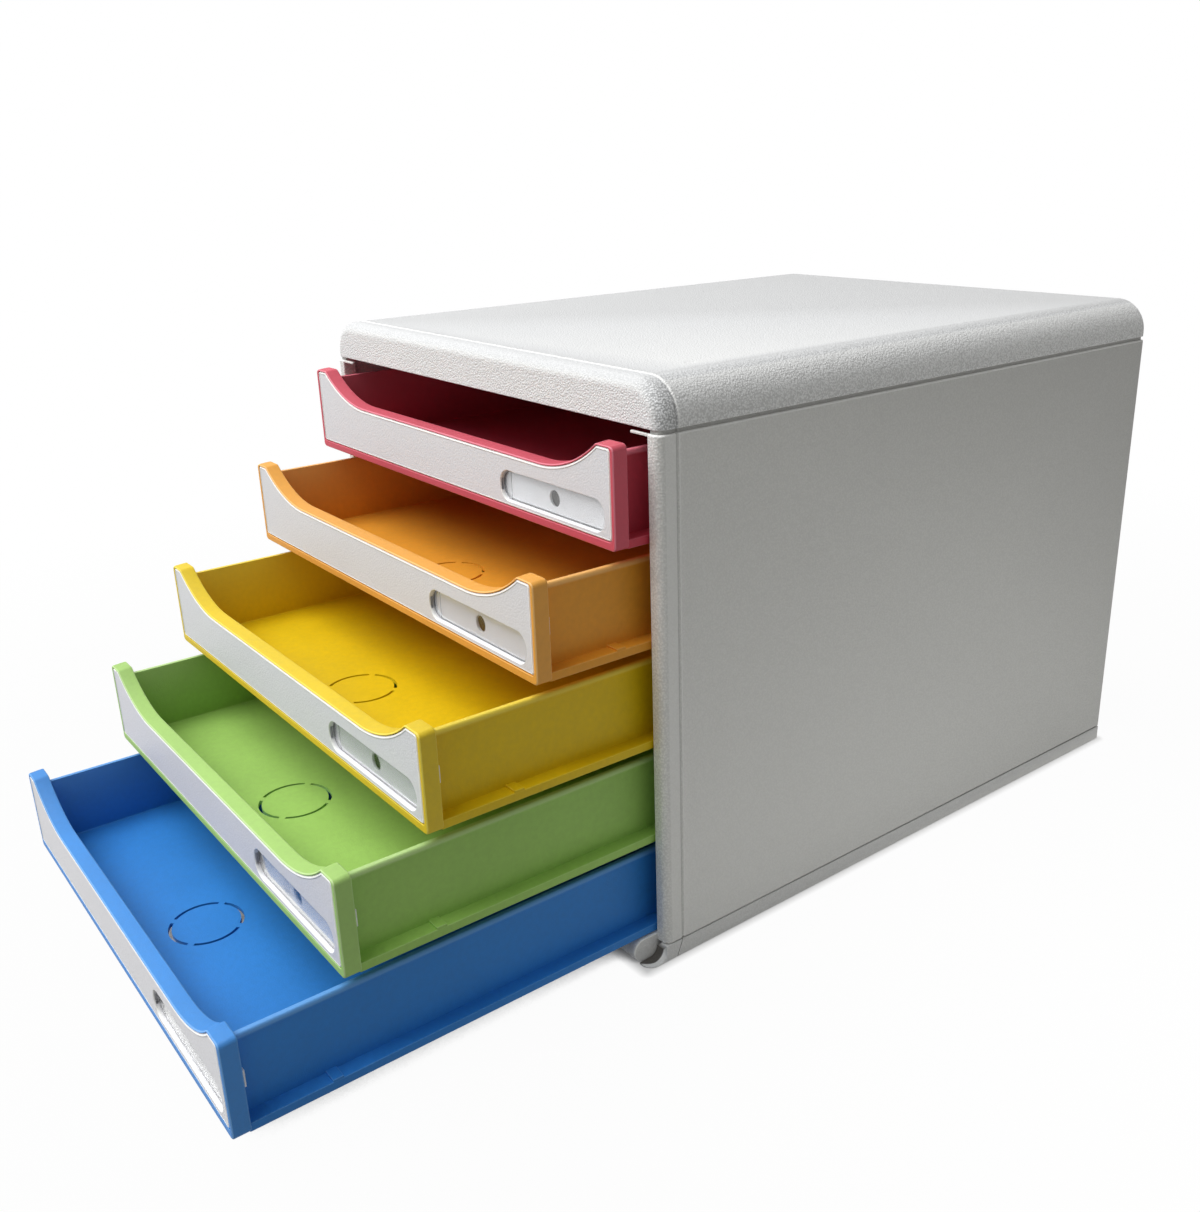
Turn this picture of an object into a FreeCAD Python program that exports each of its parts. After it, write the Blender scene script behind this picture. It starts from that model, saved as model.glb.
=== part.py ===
import FreeCAD, Part
import os

import Sketcher

# Desktop drawer tower: a moulded casing with five open letter trays that slide out at the front.
# Frame: the origin is the centre of the casing's underside, +X is right seen from the front,
# the front faces -Y and +Z is up. Lengths are millimetres. The trays stand as far out as in the
# photograph.

SIZES = {
    # Casing, over all
    "case_width": 275.0,
    "case_depth": 336.0,
    "case_height": 257.0,
    "skin": 2.2,
    "overrun": 1.0,
    # Joints between the casing's mouldings: the cover's height, the base's, and the shadow
    # line in each
    "lid_height": 19.0,
    "base_seam_height": 8.0,
    "reveal_height": 1.4,
    "reveal_depth": 1.2,
    # Shallow line that runs round the casing behind its front edge
    "line_setback": 9.2,
    "line_width": 1.0,
    "line_depth": 0.6,
    # Top cover
    "lid_skirt": 2.5,
    "lid_front_radius": 5.5,
    "lid_rear_radius": 1.2,
    "lid_tab_gap": 0.2,
    "lid_tab_thickness": 1.6,
    "lid_tab_length": 12.0,
    "lid_tab_drop": 5.0,
    "lid_tab_root": 7.0,
    # Side panels: the front post is the panel's own return
    "post_width": 7.0,
    "post_depth": 7.0,
    "post_front_wall": 2.4,
    "post_return_wall": 1.8,
    "post_radius": 3.5,
    # Base: the floor and its toes, which reach forward under the bullnose rail
    "base_floor": 2.2,
    "toe_reach": 10.5,
    "toe_width": 4.1,
    "toe_radius": 6.0,
    "toe_thickness": 0.8,
    "cove_reach": 5.1,
    # Bullnose rail between the posts
    "rail_radius": 5.5,
    "rail_reach": 7.2,
    "rail_height": 5.9,
    "rail_wall": 2.0,
    "rail_leaf": 8.0,
    # Back panel and its two buffers, which stop the closed trays
    "buffer_width": 2.4,
    "buffer_spacing": 120.0,
    # Stack of trays
    "lowest_tray_height": 12.0,
    "stack_headroom": 1.0,
    "tray_spacing": 3.0,
    "opening_1": 16.35,
    "opening_2": 55.4,
    "opening_3": 107.0,
    "opening_4": 145.4,
    "opening_5": 193.5,
    "full_travel": 245.0,
    # Running clearances of a tray in the casing
    "front_side_gap": 0.5,
    "runner_gap": 0.3,
    "ledge_side_gap": 1.5,
    "keeper_gap": 0.6,
    "stop_side_gap": 0.8,
    "stop_gap": 0.3,
    "closed_gap": 0.3,
    # Guides on the panels' inner faces: a ledge under each runner, a keeper above it, an end stop
    "guide_setback": 8.5,
    "guide_rear_space": 11.0,
    "ledge_thickness": 2.4,
    "keeper_thickness": 2.0,
    "keeper_lead": 6.5,
    "stop_length": 4.0,
    "stop_height": 3.6,
    # Tray front: a frame that dips in the middle, seen with its face plate let in
    "front_thickness": 7.25,
    "front_middle_height": 27.4,
    "front_shoulder": 10.0,
    "front_sweep_radius": 66.0,
    "front_crest_radius": 1.6,
    "front_corner_radius": 1.6,
    "front_edge_radius": 0.7,
    "front_wall": 2.2,
    "side_border": 2.0,
    "bottom_border": 3.5,
    "top_border": 1.1,
    "plate_seat": 1.0,
    # Tray behind the front
    "tray_side_inset": 7.3,
    "tray_wall": 2.0,
    "tray_floor": 2.0,
    "tray_floor_lift": 2.5,
    "tray_rear_space": 8.8,
    "tray_corner_radius": 2.0,
    "rim_drop": 4.4,
    "lip_height": 3.0,
    "lip_reach": 0.7,
    "runner_inset": 0.6,
    "runner_thickness": 3.8,
    "catch_setback": 39.0,
    "catch_length": 4.5,
    "catch_height": 0.9,
    "lug_length": 4.0,
    "lug_reach": 3.6,
    "lug_setback": 3.0,
    # Knock-out ring cut through the tray's floor
    "ring_setback": 38.5,
    "ring_inner_radius": 15.0,
    "ring_slot_width": 1.5,
    "ring_bridge": 3.0,
    # Face plate
    "plate_thickness": 2.0,
    "plate_gap": 0.15,
    "clip_inset": 0.25,
    "clip_thickness": 1.4,
    "clip_rise": 18.5,
    "clip_height": 8.0,
    "clip_gap": 0.2,
    "clip_hook_reach": 0.8,
    "clip_hook_length": 3.0,
    # Label recess in the face plate, with its clear window
    "label_length": 74.3,
    "label_height": 13.4,
    "label_radius": 6.2,
    "label_end_margin": 4.65,
    "label_bottom_margin": 2.15,
    "label_depth": 2.0,
    "label_space": 0.4,
    "cup_floor": 1.2,
    "cup_wall": 0.9,
    "window_thickness": 1.0,
    "window_gap": 0.15,
    "window_seat": 0.8,
    "push_hole_diameter": 7.0,
    "pick_slot_rise": 3.7,
    "pick_slot_height": 5.5,
    "pick_slot_depth": 1.3,
    "pick_slot_setback": 0.7,
    "pick_slot_width": 1.2,
}

# Places of the lid's tabs along the casing, as shares of its depth from the middle
LID_TAB_SHARES = (-0.3, 0.0, 0.3)

TRAY_COUNT = 5
TRAY_NUMBERS = range(1, TRAY_COUNT + 1)  # from the top down

EQUAL_WITHIN = 1e-4  # two lengths that differ by less are equal

doc = FreeCAD.newDocument("drawer_tower")
sheet = doc.addObject("Spreadsheet::Sheet", "sizes")
for row, (size_name, size_value) in enumerate(SIZES.items(), start=1):
    sheet.set(f"A{row}", size_name)
    sheet.set(f"B{row}", str(size_value))
    sheet.setAlias(f"B{row}", size_name)
doc.recompute()


class Length:
    """A length as an expression on the sheet, so that arithmetic on it stays bound to the cells."""

    def __init__(self, text):
        self.text = text

    def joined(self, sign, other):
        return Length(f"({self.text} {sign} {getattr(other, 'text', other)})")

    def __add__(self, other):
        return self.joined("+", other)

    def __sub__(self, other):
        return self.joined("-", other)

    def __mul__(self, other):
        return self.joined("*", other)

    def __truediv__(self, other):
        return self.joined("/", other)

    def __neg__(self):
        return Length(f"(-1 * {self.text})")

    def root(self):
        return Length(f"sqrt({self.text})")

    def value(self):
        return float(sheet.evalExpression(self.text))


class SheetSizes:
    """Gives each alias of the sheet as a Length."""

    def __getattr__(self, alias):
        return Length(f"sizes.{alias}")


mm = SheetSizes()
ZERO = Length("0")


def bind(target, prop, length):
    target.setExpression(prop, length.text)


def new_body(label):
    body = doc.addObject("PartDesign::Body", label)
    body.Label = label
    return body


def origin_feature(body, role):
    return next(feature for feature in body.Origin.OriginFeatures if feature.Role == role)


def new_sketch(body, name, plane, lift=None):
    """Start a sketch on an origin plane of the body, moved along the plane's normal by lift."""
    sketch = body.newObject("Sketcher::SketchObject", name)
    sketch.AttachmentSupport = [(origin_feature(body, plane), "")]
    sketch.MapMode = "FlatFace"
    if lift is not None:
        bind(sketch, "AttachmentOffset.Base.z", lift)
    return sketch


def place_point(sketch, edge, end, across, up):
    """Hold one end of an edge at a place given by two Lengths."""
    for kind, axis, place in (("DistanceX", -2, across), ("DistanceY", -1, up)):
        if place is ZERO:
            sketch.addConstraint(Sketcher.Constraint("PointOnObject", edge, end, axis))
        else:
            index = sketch.addConstraint(
                Sketcher.Constraint(kind, -1, 1, edge, end, place.value())
            )
            bind(sketch, f"Constraints[{index}]", place)


def arc_between(start, finish, radius, turn):
    """The short arc from start to finish that turns left or right, as counterclockwise geometry."""
    chord = finish - start
    middle = (start + finish) * 0.5
    inward = FreeCAD.Vector(-chord.y, chord.x, 0) * (1 / chord.Length)
    if turn == "right":
        inward = -inward
    rise = max(radius * radius - chord.Length * chord.Length / 4, 0) ** 0.5
    centre = middle + inward * rise
    first, last = (start, finish) if turn == "left" else (finish, start)
    x_axis = FreeCAD.Vector(1, 0, 0)
    z_axis = FreeCAD.Vector(0, 0, 1)
    angles = [
        (point - centre).getAngle(x_axis) * (1 if point.y >= centre.y else -1)
        for point in (first, last)
    ]
    return Part.ArcOfCircle(Part.Circle(centre, z_axis, radius), *angles)


def add_outline(sketch, corners):
    """Add a closed outline. A corner is (across, up), or (across, up, radius, turn) where an arc
    runs from it to the next corner."""
    points = [FreeCAD.Vector(corner[0].value(), corner[1].value(), 0) for corner in corners]
    edges = []
    for place, corner in enumerate(corners):
        start = points[place]
        finish = points[(place + 1) % len(points)]
        if len(corner) == 2:
            edge = sketch.addGeometry(Part.LineSegment(start, finish), False)
            edges.append((edge, 1, 2))
        else:
            radius, turn = corner[2:]
            arc = arc_between(start, finish, radius.value(), turn)
            edge = sketch.addGeometry(arc, False)
            edges.append((edge, 1, 2) if turn == "left" else (edge, 2, 1))
    for place, (edge, first, last) in enumerate(edges):
        following, following_first, _ = edges[(place + 1) % len(edges)]
        sketch.addConstraint(
            Sketcher.Constraint("Coincident", edge, last, following, following_first)
        )
    for (edge, first, _), corner in zip(edges, corners):
        place_point(sketch, edge, first, corner[0], corner[1])
        if len(corner) > 2:
            index = sketch.addConstraint(
                Sketcher.Constraint("Radius", edge, corner[2].value())
            )
            bind(sketch, f"Constraints[{index}]", corner[2])


def add_circle(sketch, across, up, radius):
    centre = FreeCAD.Vector(across.value(), up.value(), 0)
    circle = Part.Circle(centre, FreeCAD.Vector(0, 0, 1), radius.value())
    edge = sketch.addGeometry(circle, False)
    place_point(sketch, edge, 3, across, up)
    index = sketch.addConstraint(Sketcher.Constraint("Radius", edge, radius.value()))
    bind(sketch, f"Constraints[{index}]", radius)


def rectangle(left, right, bottom, top):
    return [(left, bottom), (right, bottom), (right, top), (left, top)]


def rounded_rectangle(left, right, bottom, top, radius):
    return [
        (left + radius, bottom),
        (right - radius, bottom, radius, "left"),
        (right, bottom + radius),
        (right, top - radius, radius, "left"),
        (right - radius, top),
        (left + radius, top, radius, "left"),
        (left, top - radius),
        (left, bottom + radius, radius, "left"),
    ]


def with_mirror_image(right):
    """Close an outline that runs up its right half, from below to above, with its mirror image."""
    left = []
    for place in reversed(range(len(right))):
        across, up = right[place][:2]
        arc = right[place - 1][2:] if place > 0 else ()
        left.append((-across, up, *arc))
    return right + left


def extrude(body, kind, name, sketch, length, reverse=False, symmetric=False):
    """Pad or pocket a sketch. A pad grows along the sketch's normal and a pocket against it."""
    feature = body.newObject(f"PartDesign::{kind}", name)
    feature.Profile = sketch
    bind(feature, "Length", length)
    feature.Reversed = reverse
    if symmetric:
        feature.SideType = "Symmetric"
    return feature


def box(body, name, x, y, z, cut=False):
    """Add or cut a box that spans the given pair of Lengths along each axis."""
    kind = "PartDesign::SubtractiveBox" if cut else "PartDesign::AdditiveBox"
    feature = body.newObject(kind, name)
    for side, axis, (low, high) in zip(("Length", "Width", "Height"), "xyz", (x, y, z)):
        bind(feature, side, high - low)
        bind(feature, f"Placement.Base.{axis}", low)
    return feature


def mirrored(side, near, far):
    """A span along X from near to far on the right side, or its mirror image on the left."""
    return (near, far) if side == "right" else (-far, -near)


def centred(width, middle=ZERO):
    return (middle - width / 2, middle + width / 2)


def fillet(body, name, base, radius, wanted):
    """Round those edges of a feature for which wanted, called with the edge's points, is true."""
    doc.recompute()
    edges = [
        f"Edge{index}"
        for index, edge in enumerate(base.Shape.Edges, start=1)
        if wanted([vertex.Point for vertex in edge.Vertexes])
    ]
    feature = body.newObject("PartDesign::Fillet", name)
    feature.Base = (base, edges)
    bind(feature, "Radius", radius)
    return feature


def near(number, length):
    return abs(number - length.value()) < EQUAL_WITHIN


# Places that several pieces share
half_width = mm.case_width / 2
half_depth = mm.case_depth / 2
front_plane = -half_depth
panel_inner = half_width - mm.skin
opening_half = half_width - mm.post_width
lid_wall = mm.skin + mm.lid_tab_gap
rear_inner = half_depth - mm.skin
lid_seam = mm.case_height - mm.lid_height
stack_height = lid_seam - mm.stack_headroom - mm.lowest_tray_height
tray_pitch = stack_height / TRAY_COUNT
front_height = tray_pitch - mm.tray_spacing
front_dip = front_height - mm.front_middle_height
tray_front_half = opening_half - mm.front_side_gap
runner_side = tray_front_half - mm.runner_inset
tray_side_outer = tray_front_half - mm.tray_side_inset
tray_length = mm.case_depth - mm.skin - mm.tray_rear_space
lug_front = tray_length - mm.lug_setback - mm.lug_length


def lid_section(inset, bottom):
    """The cover's cross-section seen from the front, drawn in by inset, from bottom upward."""
    side = half_width - inset
    top = mm.case_height - inset
    radius = mm.lid_height - mm.lid_skirt - inset
    return with_mirror_image(
        [
            (side, bottom),
            (side, top - radius, radius, "left"),
            (side - radius, top),
        ]
    )


def make_top_cover():
    """Shell with rounded long edges, a softer front edge and tabs that locate it in the panels."""
    body = new_body("top_cover")
    outside = new_sketch(body, "cover_outside", "XZ_Plane")
    add_outline(outside, lid_section(ZERO, lid_seam))
    block = extrude(body, "Pad", "cover_block", outside, mm.case_depth, symmetric=True)

    def on_plane(plane):
        def wanted(points):
            level = all(near(point.y, plane) for point in points)
            return level and not all(near(point.z, lid_seam) for point in points)

        return wanted

    front = fillet(body, "cover_front_edge", block, mm.lid_front_radius, on_plane(front_plane))
    fillet(body, "cover_rear_edge", front, mm.lid_rear_radius, on_plane(half_depth))
    inside = new_sketch(body, "cover_inside", "XZ_Plane")
    add_outline(inside, lid_section(lid_wall, lid_seam - mm.overrun))
    hollow_length = mm.case_depth - lid_wall * 2
    extrude(body, "Pocket", "cover_hollow", inside, hollow_length, symmetric=True)

    line = new_sketch(body, "cover_line_ring", "XZ_Plane", lift=half_depth - mm.line_setback)
    add_outline(line, lid_section(-mm.overrun, lid_seam - mm.overrun))
    add_outline(line, lid_section(mm.line_depth, lid_seam - mm.overrun / 2))
    extrude(body, "Pocket", "cover_line", line, mm.line_width)

    tab_outer = half_width - lid_wall
    for side in ("right", "left"):
        for share in LID_TAB_SHARES:
            box(
                body,
                f"cover_tab_{side}",
                mirrored(side, tab_outer - mm.lid_tab_thickness, tab_outer),
                centred(mm.lid_tab_length, mm.case_depth * share),
                (lid_seam - mm.lid_tab_drop, lid_seam + mm.lid_tab_root),
            )
    return body


def make_side_panel(side):
    """Wall with its own front post, shadow lines at both seams and the guides of every tray."""
    body = new_body(f"{side}_side_panel")
    turn = "left" if side == "right" else "right"
    hand = 1 if side == "right" else -1
    plan = new_sketch(body, f"{side}_panel_plan", "XY_Plane", lift=mm.base_seam_height)
    post_rear = front_plane + mm.post_depth
    post_wall_rear = front_plane + mm.post_front_wall
    return_outer = opening_half + mm.post_return_wall
    corners = [
        (panel_inner, half_depth),
        (panel_inner, post_wall_rear),
        (return_outer, post_wall_rear),
        (return_outer, post_rear),
        (opening_half, post_rear),
        (opening_half, front_plane),
        (half_width - mm.post_radius, front_plane, mm.post_radius, turn),
        (half_width, front_plane + mm.post_radius),
        (half_width, half_depth),
    ]
    add_outline(plan, [(corner[0] * hand, *corner[1:]) for corner in corners])
    height = lid_seam - mm.base_seam_height
    extrude(body, "Pad", f"{side}_panel_wall", plan, height)

    whole_depth = (front_plane - mm.overrun, half_depth + mm.overrun)
    whole_height = (mm.base_seam_height - mm.overrun, lid_seam + mm.overrun)
    outer = half_width + mm.overrun
    for seam, level in (
        ("lid", (lid_seam - mm.reveal_height, lid_seam + mm.overrun)),
        ("base", (mm.base_seam_height - mm.overrun, mm.base_seam_height + mm.reveal_height)),
    ):
        shadow = mirrored(side, half_width - mm.reveal_depth, outer)
        box(body, f"{side}_{seam}_shadow", shadow, whole_depth, level, cut=True)
        across_post = mirrored(side, opening_half - mm.overrun, outer)
        face = (front_plane - mm.overrun, front_plane + mm.reveal_depth)
        box(body, f"{side}_{seam}_post_shadow", across_post, face, level, cut=True)
    line_front = front_plane + mm.line_setback
    line = mirrored(side, half_width - mm.line_depth, outer)
    line_span = (line_front, line_front + mm.line_width)
    box(body, f"{side}_panel_line", line, line_span, whole_height, cut=True)

    guide_span = (front_plane + mm.guide_setback, rear_inner - mm.guide_rear_space)
    ledge = mirrored(side, tray_side_outer + mm.ledge_side_gap, panel_inner)
    ledge_top = mm.lowest_tray_height - mm.runner_gap
    ledge_feature = box(
        body, f"{side}_ledge", ledge, guide_span, (ledge_top - mm.ledge_thickness, ledge_top)
    )
    keeper_front = front_plane + mm.catch_setback + mm.catch_length + mm.keeper_lead
    keeper_bottom = mm.lowest_tray_height + mm.runner_thickness + mm.keeper_gap
    keeper_feature = box(
        body,
        f"{side}_keeper",
        ledge,
        (keeper_front, guide_span[1]),
        (keeper_bottom, keeper_bottom + mm.keeper_thickness),
    )
    stop_rear = front_plane + lug_front - mm.full_travel - mm.stop_gap
    stop_feature = box(
        body,
        f"{side}_end_stop",
        mirrored(side, runner_side + mm.stop_side_gap, panel_inner),
        (stop_rear - mm.stop_length, stop_rear),
        (ledge_top, ledge_top + mm.stop_height),
    )
    stack = body.newObject("PartDesign::LinearPattern", f"{side}_guides")
    stack.Originals = [ledge_feature, keeper_feature, stop_feature]
    stack.Direction = (origin_feature(body, "Z_Axis"), [""])
    bind(stack, "Length", tray_pitch * (TRAY_COUNT - 1))
    stack.Occurrences = TRAY_COUNT
    body.Tip = stack
    return body


def make_base_tray():
    """Floor with upright side and rear strips and two thin toes under the ends of the rail."""
    body = new_body("base_tray")
    floor = new_sketch(body, "base_floor_plan", "XY_Plane")
    add_outline(floor, rectangle(-half_width, half_width, front_plane, half_depth))
    extrude(body, "Pad", "base_floor_plate", floor, mm.base_floor)

    toe_inner = half_width - mm.toe_width
    arc_depth = mm.toe_radius * mm.toe_radius - (mm.toe_radius - mm.toe_width) * (
        mm.toe_radius - mm.toe_width
    )
    arc_centre = front_plane - mm.toe_reach + mm.toe_radius
    for side, hand, turn in (("right", 1, "left"), ("left", -1, "right")):
        strip = new_sketch(body, f"base_strip_plan_{side}", "XY_Plane")
        corners = [
            (panel_inner, half_depth),
            (panel_inner, front_plane + mm.post_front_wall),
            (toe_inner, front_plane + mm.post_front_wall),
            (toe_inner, arc_centre - arc_depth.root(), mm.toe_radius, turn),
            (half_width, arc_centre),
            (half_width, half_depth),
        ]
        add_outline(strip, [(corner[0] * hand, *corner[1:]) for corner in corners])
        extrude(body, "Pad", f"base_strip_{side}", strip, mm.base_seam_height)
    box(
        body,
        "base_rear_strip",
        (-panel_inner, panel_inner),
        (rear_inner, half_depth),
        (ZERO, mm.base_seam_height),
    )
    # The hollow over each toe is rounded like the rail and ends behind it, clear of its nose
    hollow = new_sketch(body, "toe_hollow", "YZ_Plane")
    cove_centre = front_plane - mm.cove_reach
    toe_end = front_plane - mm.toe_reach - mm.overrun
    cove_radius = mm.rail_height - mm.toe_thickness
    above = mm.base_seam_height + mm.overrun
    add_outline(
        hollow,
        [
            (toe_end, mm.toe_thickness),
            (cove_centre, mm.toe_thickness, cove_radius, "left"),
            (cove_centre + cove_radius, mm.rail_height),
            (cove_centre + cove_radius, above),
            (toe_end, above),
        ],
    )
    whole_width = mm.case_width + mm.overrun * 2
    extrude(body, "Pocket", "toe_tops", hollow, whole_width, symmetric=True)
    return body


def make_back_panel():
    """Flat wall between the side panels, with two upright buffers for the closed trays."""
    body = new_body("back_panel")
    height = (mm.base_seam_height, lid_seam)
    box(body, "back_wall", (-panel_inner, panel_inner), (rear_inner, half_depth), height)
    buffer_front = front_plane + tray_length + mm.lip_reach + mm.closed_gap
    for name, middle in (("right", mm.buffer_spacing / 2), ("left", -mm.buffer_spacing / 2)):
        span = centred(mm.buffer_width, middle)
        box(body, f"back_buffer_{name}", span, (buffer_front, rear_inner), height)
    return body


def make_bottom_front_rail():
    """Hollow bullnose between the posts, closed at its ends, hooked over the base's front edge."""
    body = new_body("bottom_front_rail")
    centre = front_plane - mm.rail_reach
    bottom = mm.rail_height - mm.rail_radius
    top = mm.rail_height + mm.rail_radius
    leaf_rear = front_plane + mm.rail_leaf
    outside = new_sketch(body, "rail_outside", "YZ_Plane")
    add_outline(
        outside,
        [
            (centre, top, mm.rail_radius, "left"),
            (centre - mm.rail_radius, mm.rail_height, mm.rail_radius, "left"),
            (centre, bottom),
            (front_plane, bottom),
            (front_plane, mm.base_floor),
            (leaf_rear, mm.base_floor),
            (leaf_rear, top),
        ],
    )
    extrude(body, "Pad", "rail_block", outside, opening_half * 2, symmetric=True)
    inner_radius = mm.rail_radius - mm.rail_wall
    inside = new_sketch(body, "rail_inside", "YZ_Plane")
    open_level = mm.base_floor - mm.overrun
    add_outline(
        inside,
        [
            (centre, mm.rail_height + inner_radius, inner_radius, "left"),
            (centre - inner_radius, mm.rail_height, inner_radius, "left"),
            (centre, mm.rail_height - inner_radius),
            (front_plane, mm.rail_height - inner_radius),
            (front_plane, open_level),
            (leaf_rear - mm.rail_wall, open_level),
            (leaf_rear - mm.rail_wall, mm.rail_height + inner_radius),
        ],
    )
    hollow_length = opening_half * 2 - mm.rail_wall * 2
    extrude(body, "Pocket", "rail_hollow", inside, hollow_length, symmetric=True)
    return body


def front_outline(half, bottom, end_top, grow, corner_radius):
    """Outline of a tray's front seen from the front: level in the middle, swept up to both ends.
    It is drawn grow outside the face plate's own outline along its upper edge."""
    sweep = mm.front_sweep_radius - grow
    crest = mm.front_crest_radius + grow
    both = sweep + crest
    middle_top = end_top - front_dip
    # The two arcs touch on the line between their centres
    drop = both - front_dip
    reach = (both * both - drop * drop).root()
    crest_x = tray_front_half - mm.front_shoulder
    flat_half = crest_x - reach
    touch_x = flat_half + reach * sweep / both
    touch_z = middle_top + sweep - drop * sweep / both
    return with_mirror_image(
        [
            (half - corner_radius, bottom, corner_radius, "left"),
            (half, bottom + corner_radius),
            (half, end_top - corner_radius, corner_radius, "left"),
            (half - corner_radius, end_top),
            (crest_x, end_top, crest, "left"),
            (touch_x, touch_z, sweep, "right"),
            (flat_half, middle_top),
        ]
    )


# The face plate's edges in the tray's own frame: X from the middle, Y back from the front's
# face, Z up from the front's lower edge
plate_half = tray_front_half - mm.side_border - mm.plate_gap
plate_bottom = mm.bottom_border + mm.plate_gap
plate_top = front_height - mm.top_border - mm.plate_gap
clip_outer = plate_half - mm.clip_inset
label_right = plate_half - mm.label_end_margin
label_left = label_right - mm.label_length
label_bottom = plate_bottom + mm.label_bottom_margin
label_top = label_bottom + mm.label_height
front_cavity = mm.front_thickness - mm.front_wall


def plate_outline(grow):
    """The face plate's outline, moved outward all round by grow."""
    return front_outline(
        plate_half + grow, plate_bottom - grow, plate_top + grow, grow,
        mm.front_corner_radius + grow,
    )


def label_outline(grow):
    """The label recess's outline, moved outward all round by grow."""
    return rounded_rectangle(
        label_left - grow, label_right + grow, label_bottom - grow, label_top + grow,
        mm.label_radius + grow,
    )


def place_in_stack(body, number):
    """Stand a tray or a piece on it in the stack, as far out as in the photograph."""
    opening = getattr(mm, f"opening_{number}")
    steps_up = TRAY_COUNT - number
    bind(body, "Placement.Base.y", front_plane - opening)
    bind(body, "Placement.Base.z", mm.lowest_tray_height + tray_pitch * steps_up)


def tray_section(floor_top, rim_top):
    """Cross-section of a tray behind its front: floor, walls, turned-out rims and runners."""
    inner = tray_side_outer - mm.tray_wall
    lip = tray_side_outer + mm.lip_reach
    return with_mirror_image(
        [
            (inner, mm.tray_floor_lift),
            (inner, ZERO),
            (runner_side, ZERO),
            (runner_side, mm.runner_thickness),
            (tray_side_outer, mm.runner_thickness),
            (tray_side_outer, rim_top - mm.lip_height),
            (lip, rim_top - mm.lip_height),
            (lip, rim_top),
            (inner, rim_top),
            (inner, floor_top + mm.tray_corner_radius, mm.tray_corner_radius, "right"),
            (inner - mm.tray_corner_radius, floor_top),
        ]
    )


def ring_slots():
    """Four curved slots round a disc, kept apart by bridges that lie on the diagonals."""
    half_bridge = mm.ring_bridge / 2
    inner_radius = mm.ring_inner_radius
    outer_radius = inner_radius + mm.ring_slot_width
    diagonal = Length("sqrt(0.5)")

    def slot_corner(radius):
        along = (radius * radius - half_bridge * half_bridge).root()
        return (along + half_bridge) * diagonal, (along - half_bridge) * diagonal

    inner_x, inner_y = slot_corner(inner_radius)
    outer_x, outer_y = slot_corner(outer_radius)
    corners = [
        (outer_x, -outer_y, outer_radius, "left"),
        (outer_x, outer_y),
        (inner_x, inner_y, inner_radius, "right"),
        (inner_x, -inner_y),
    ]
    slots = []
    for _ in range(4):
        slots.append([(x, mm.ring_setback + y, *arc) for x, y, *arc in corners])
        corners = [(-y, x, *arc) for x, y, *arc in corners]
    return slots


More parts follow.
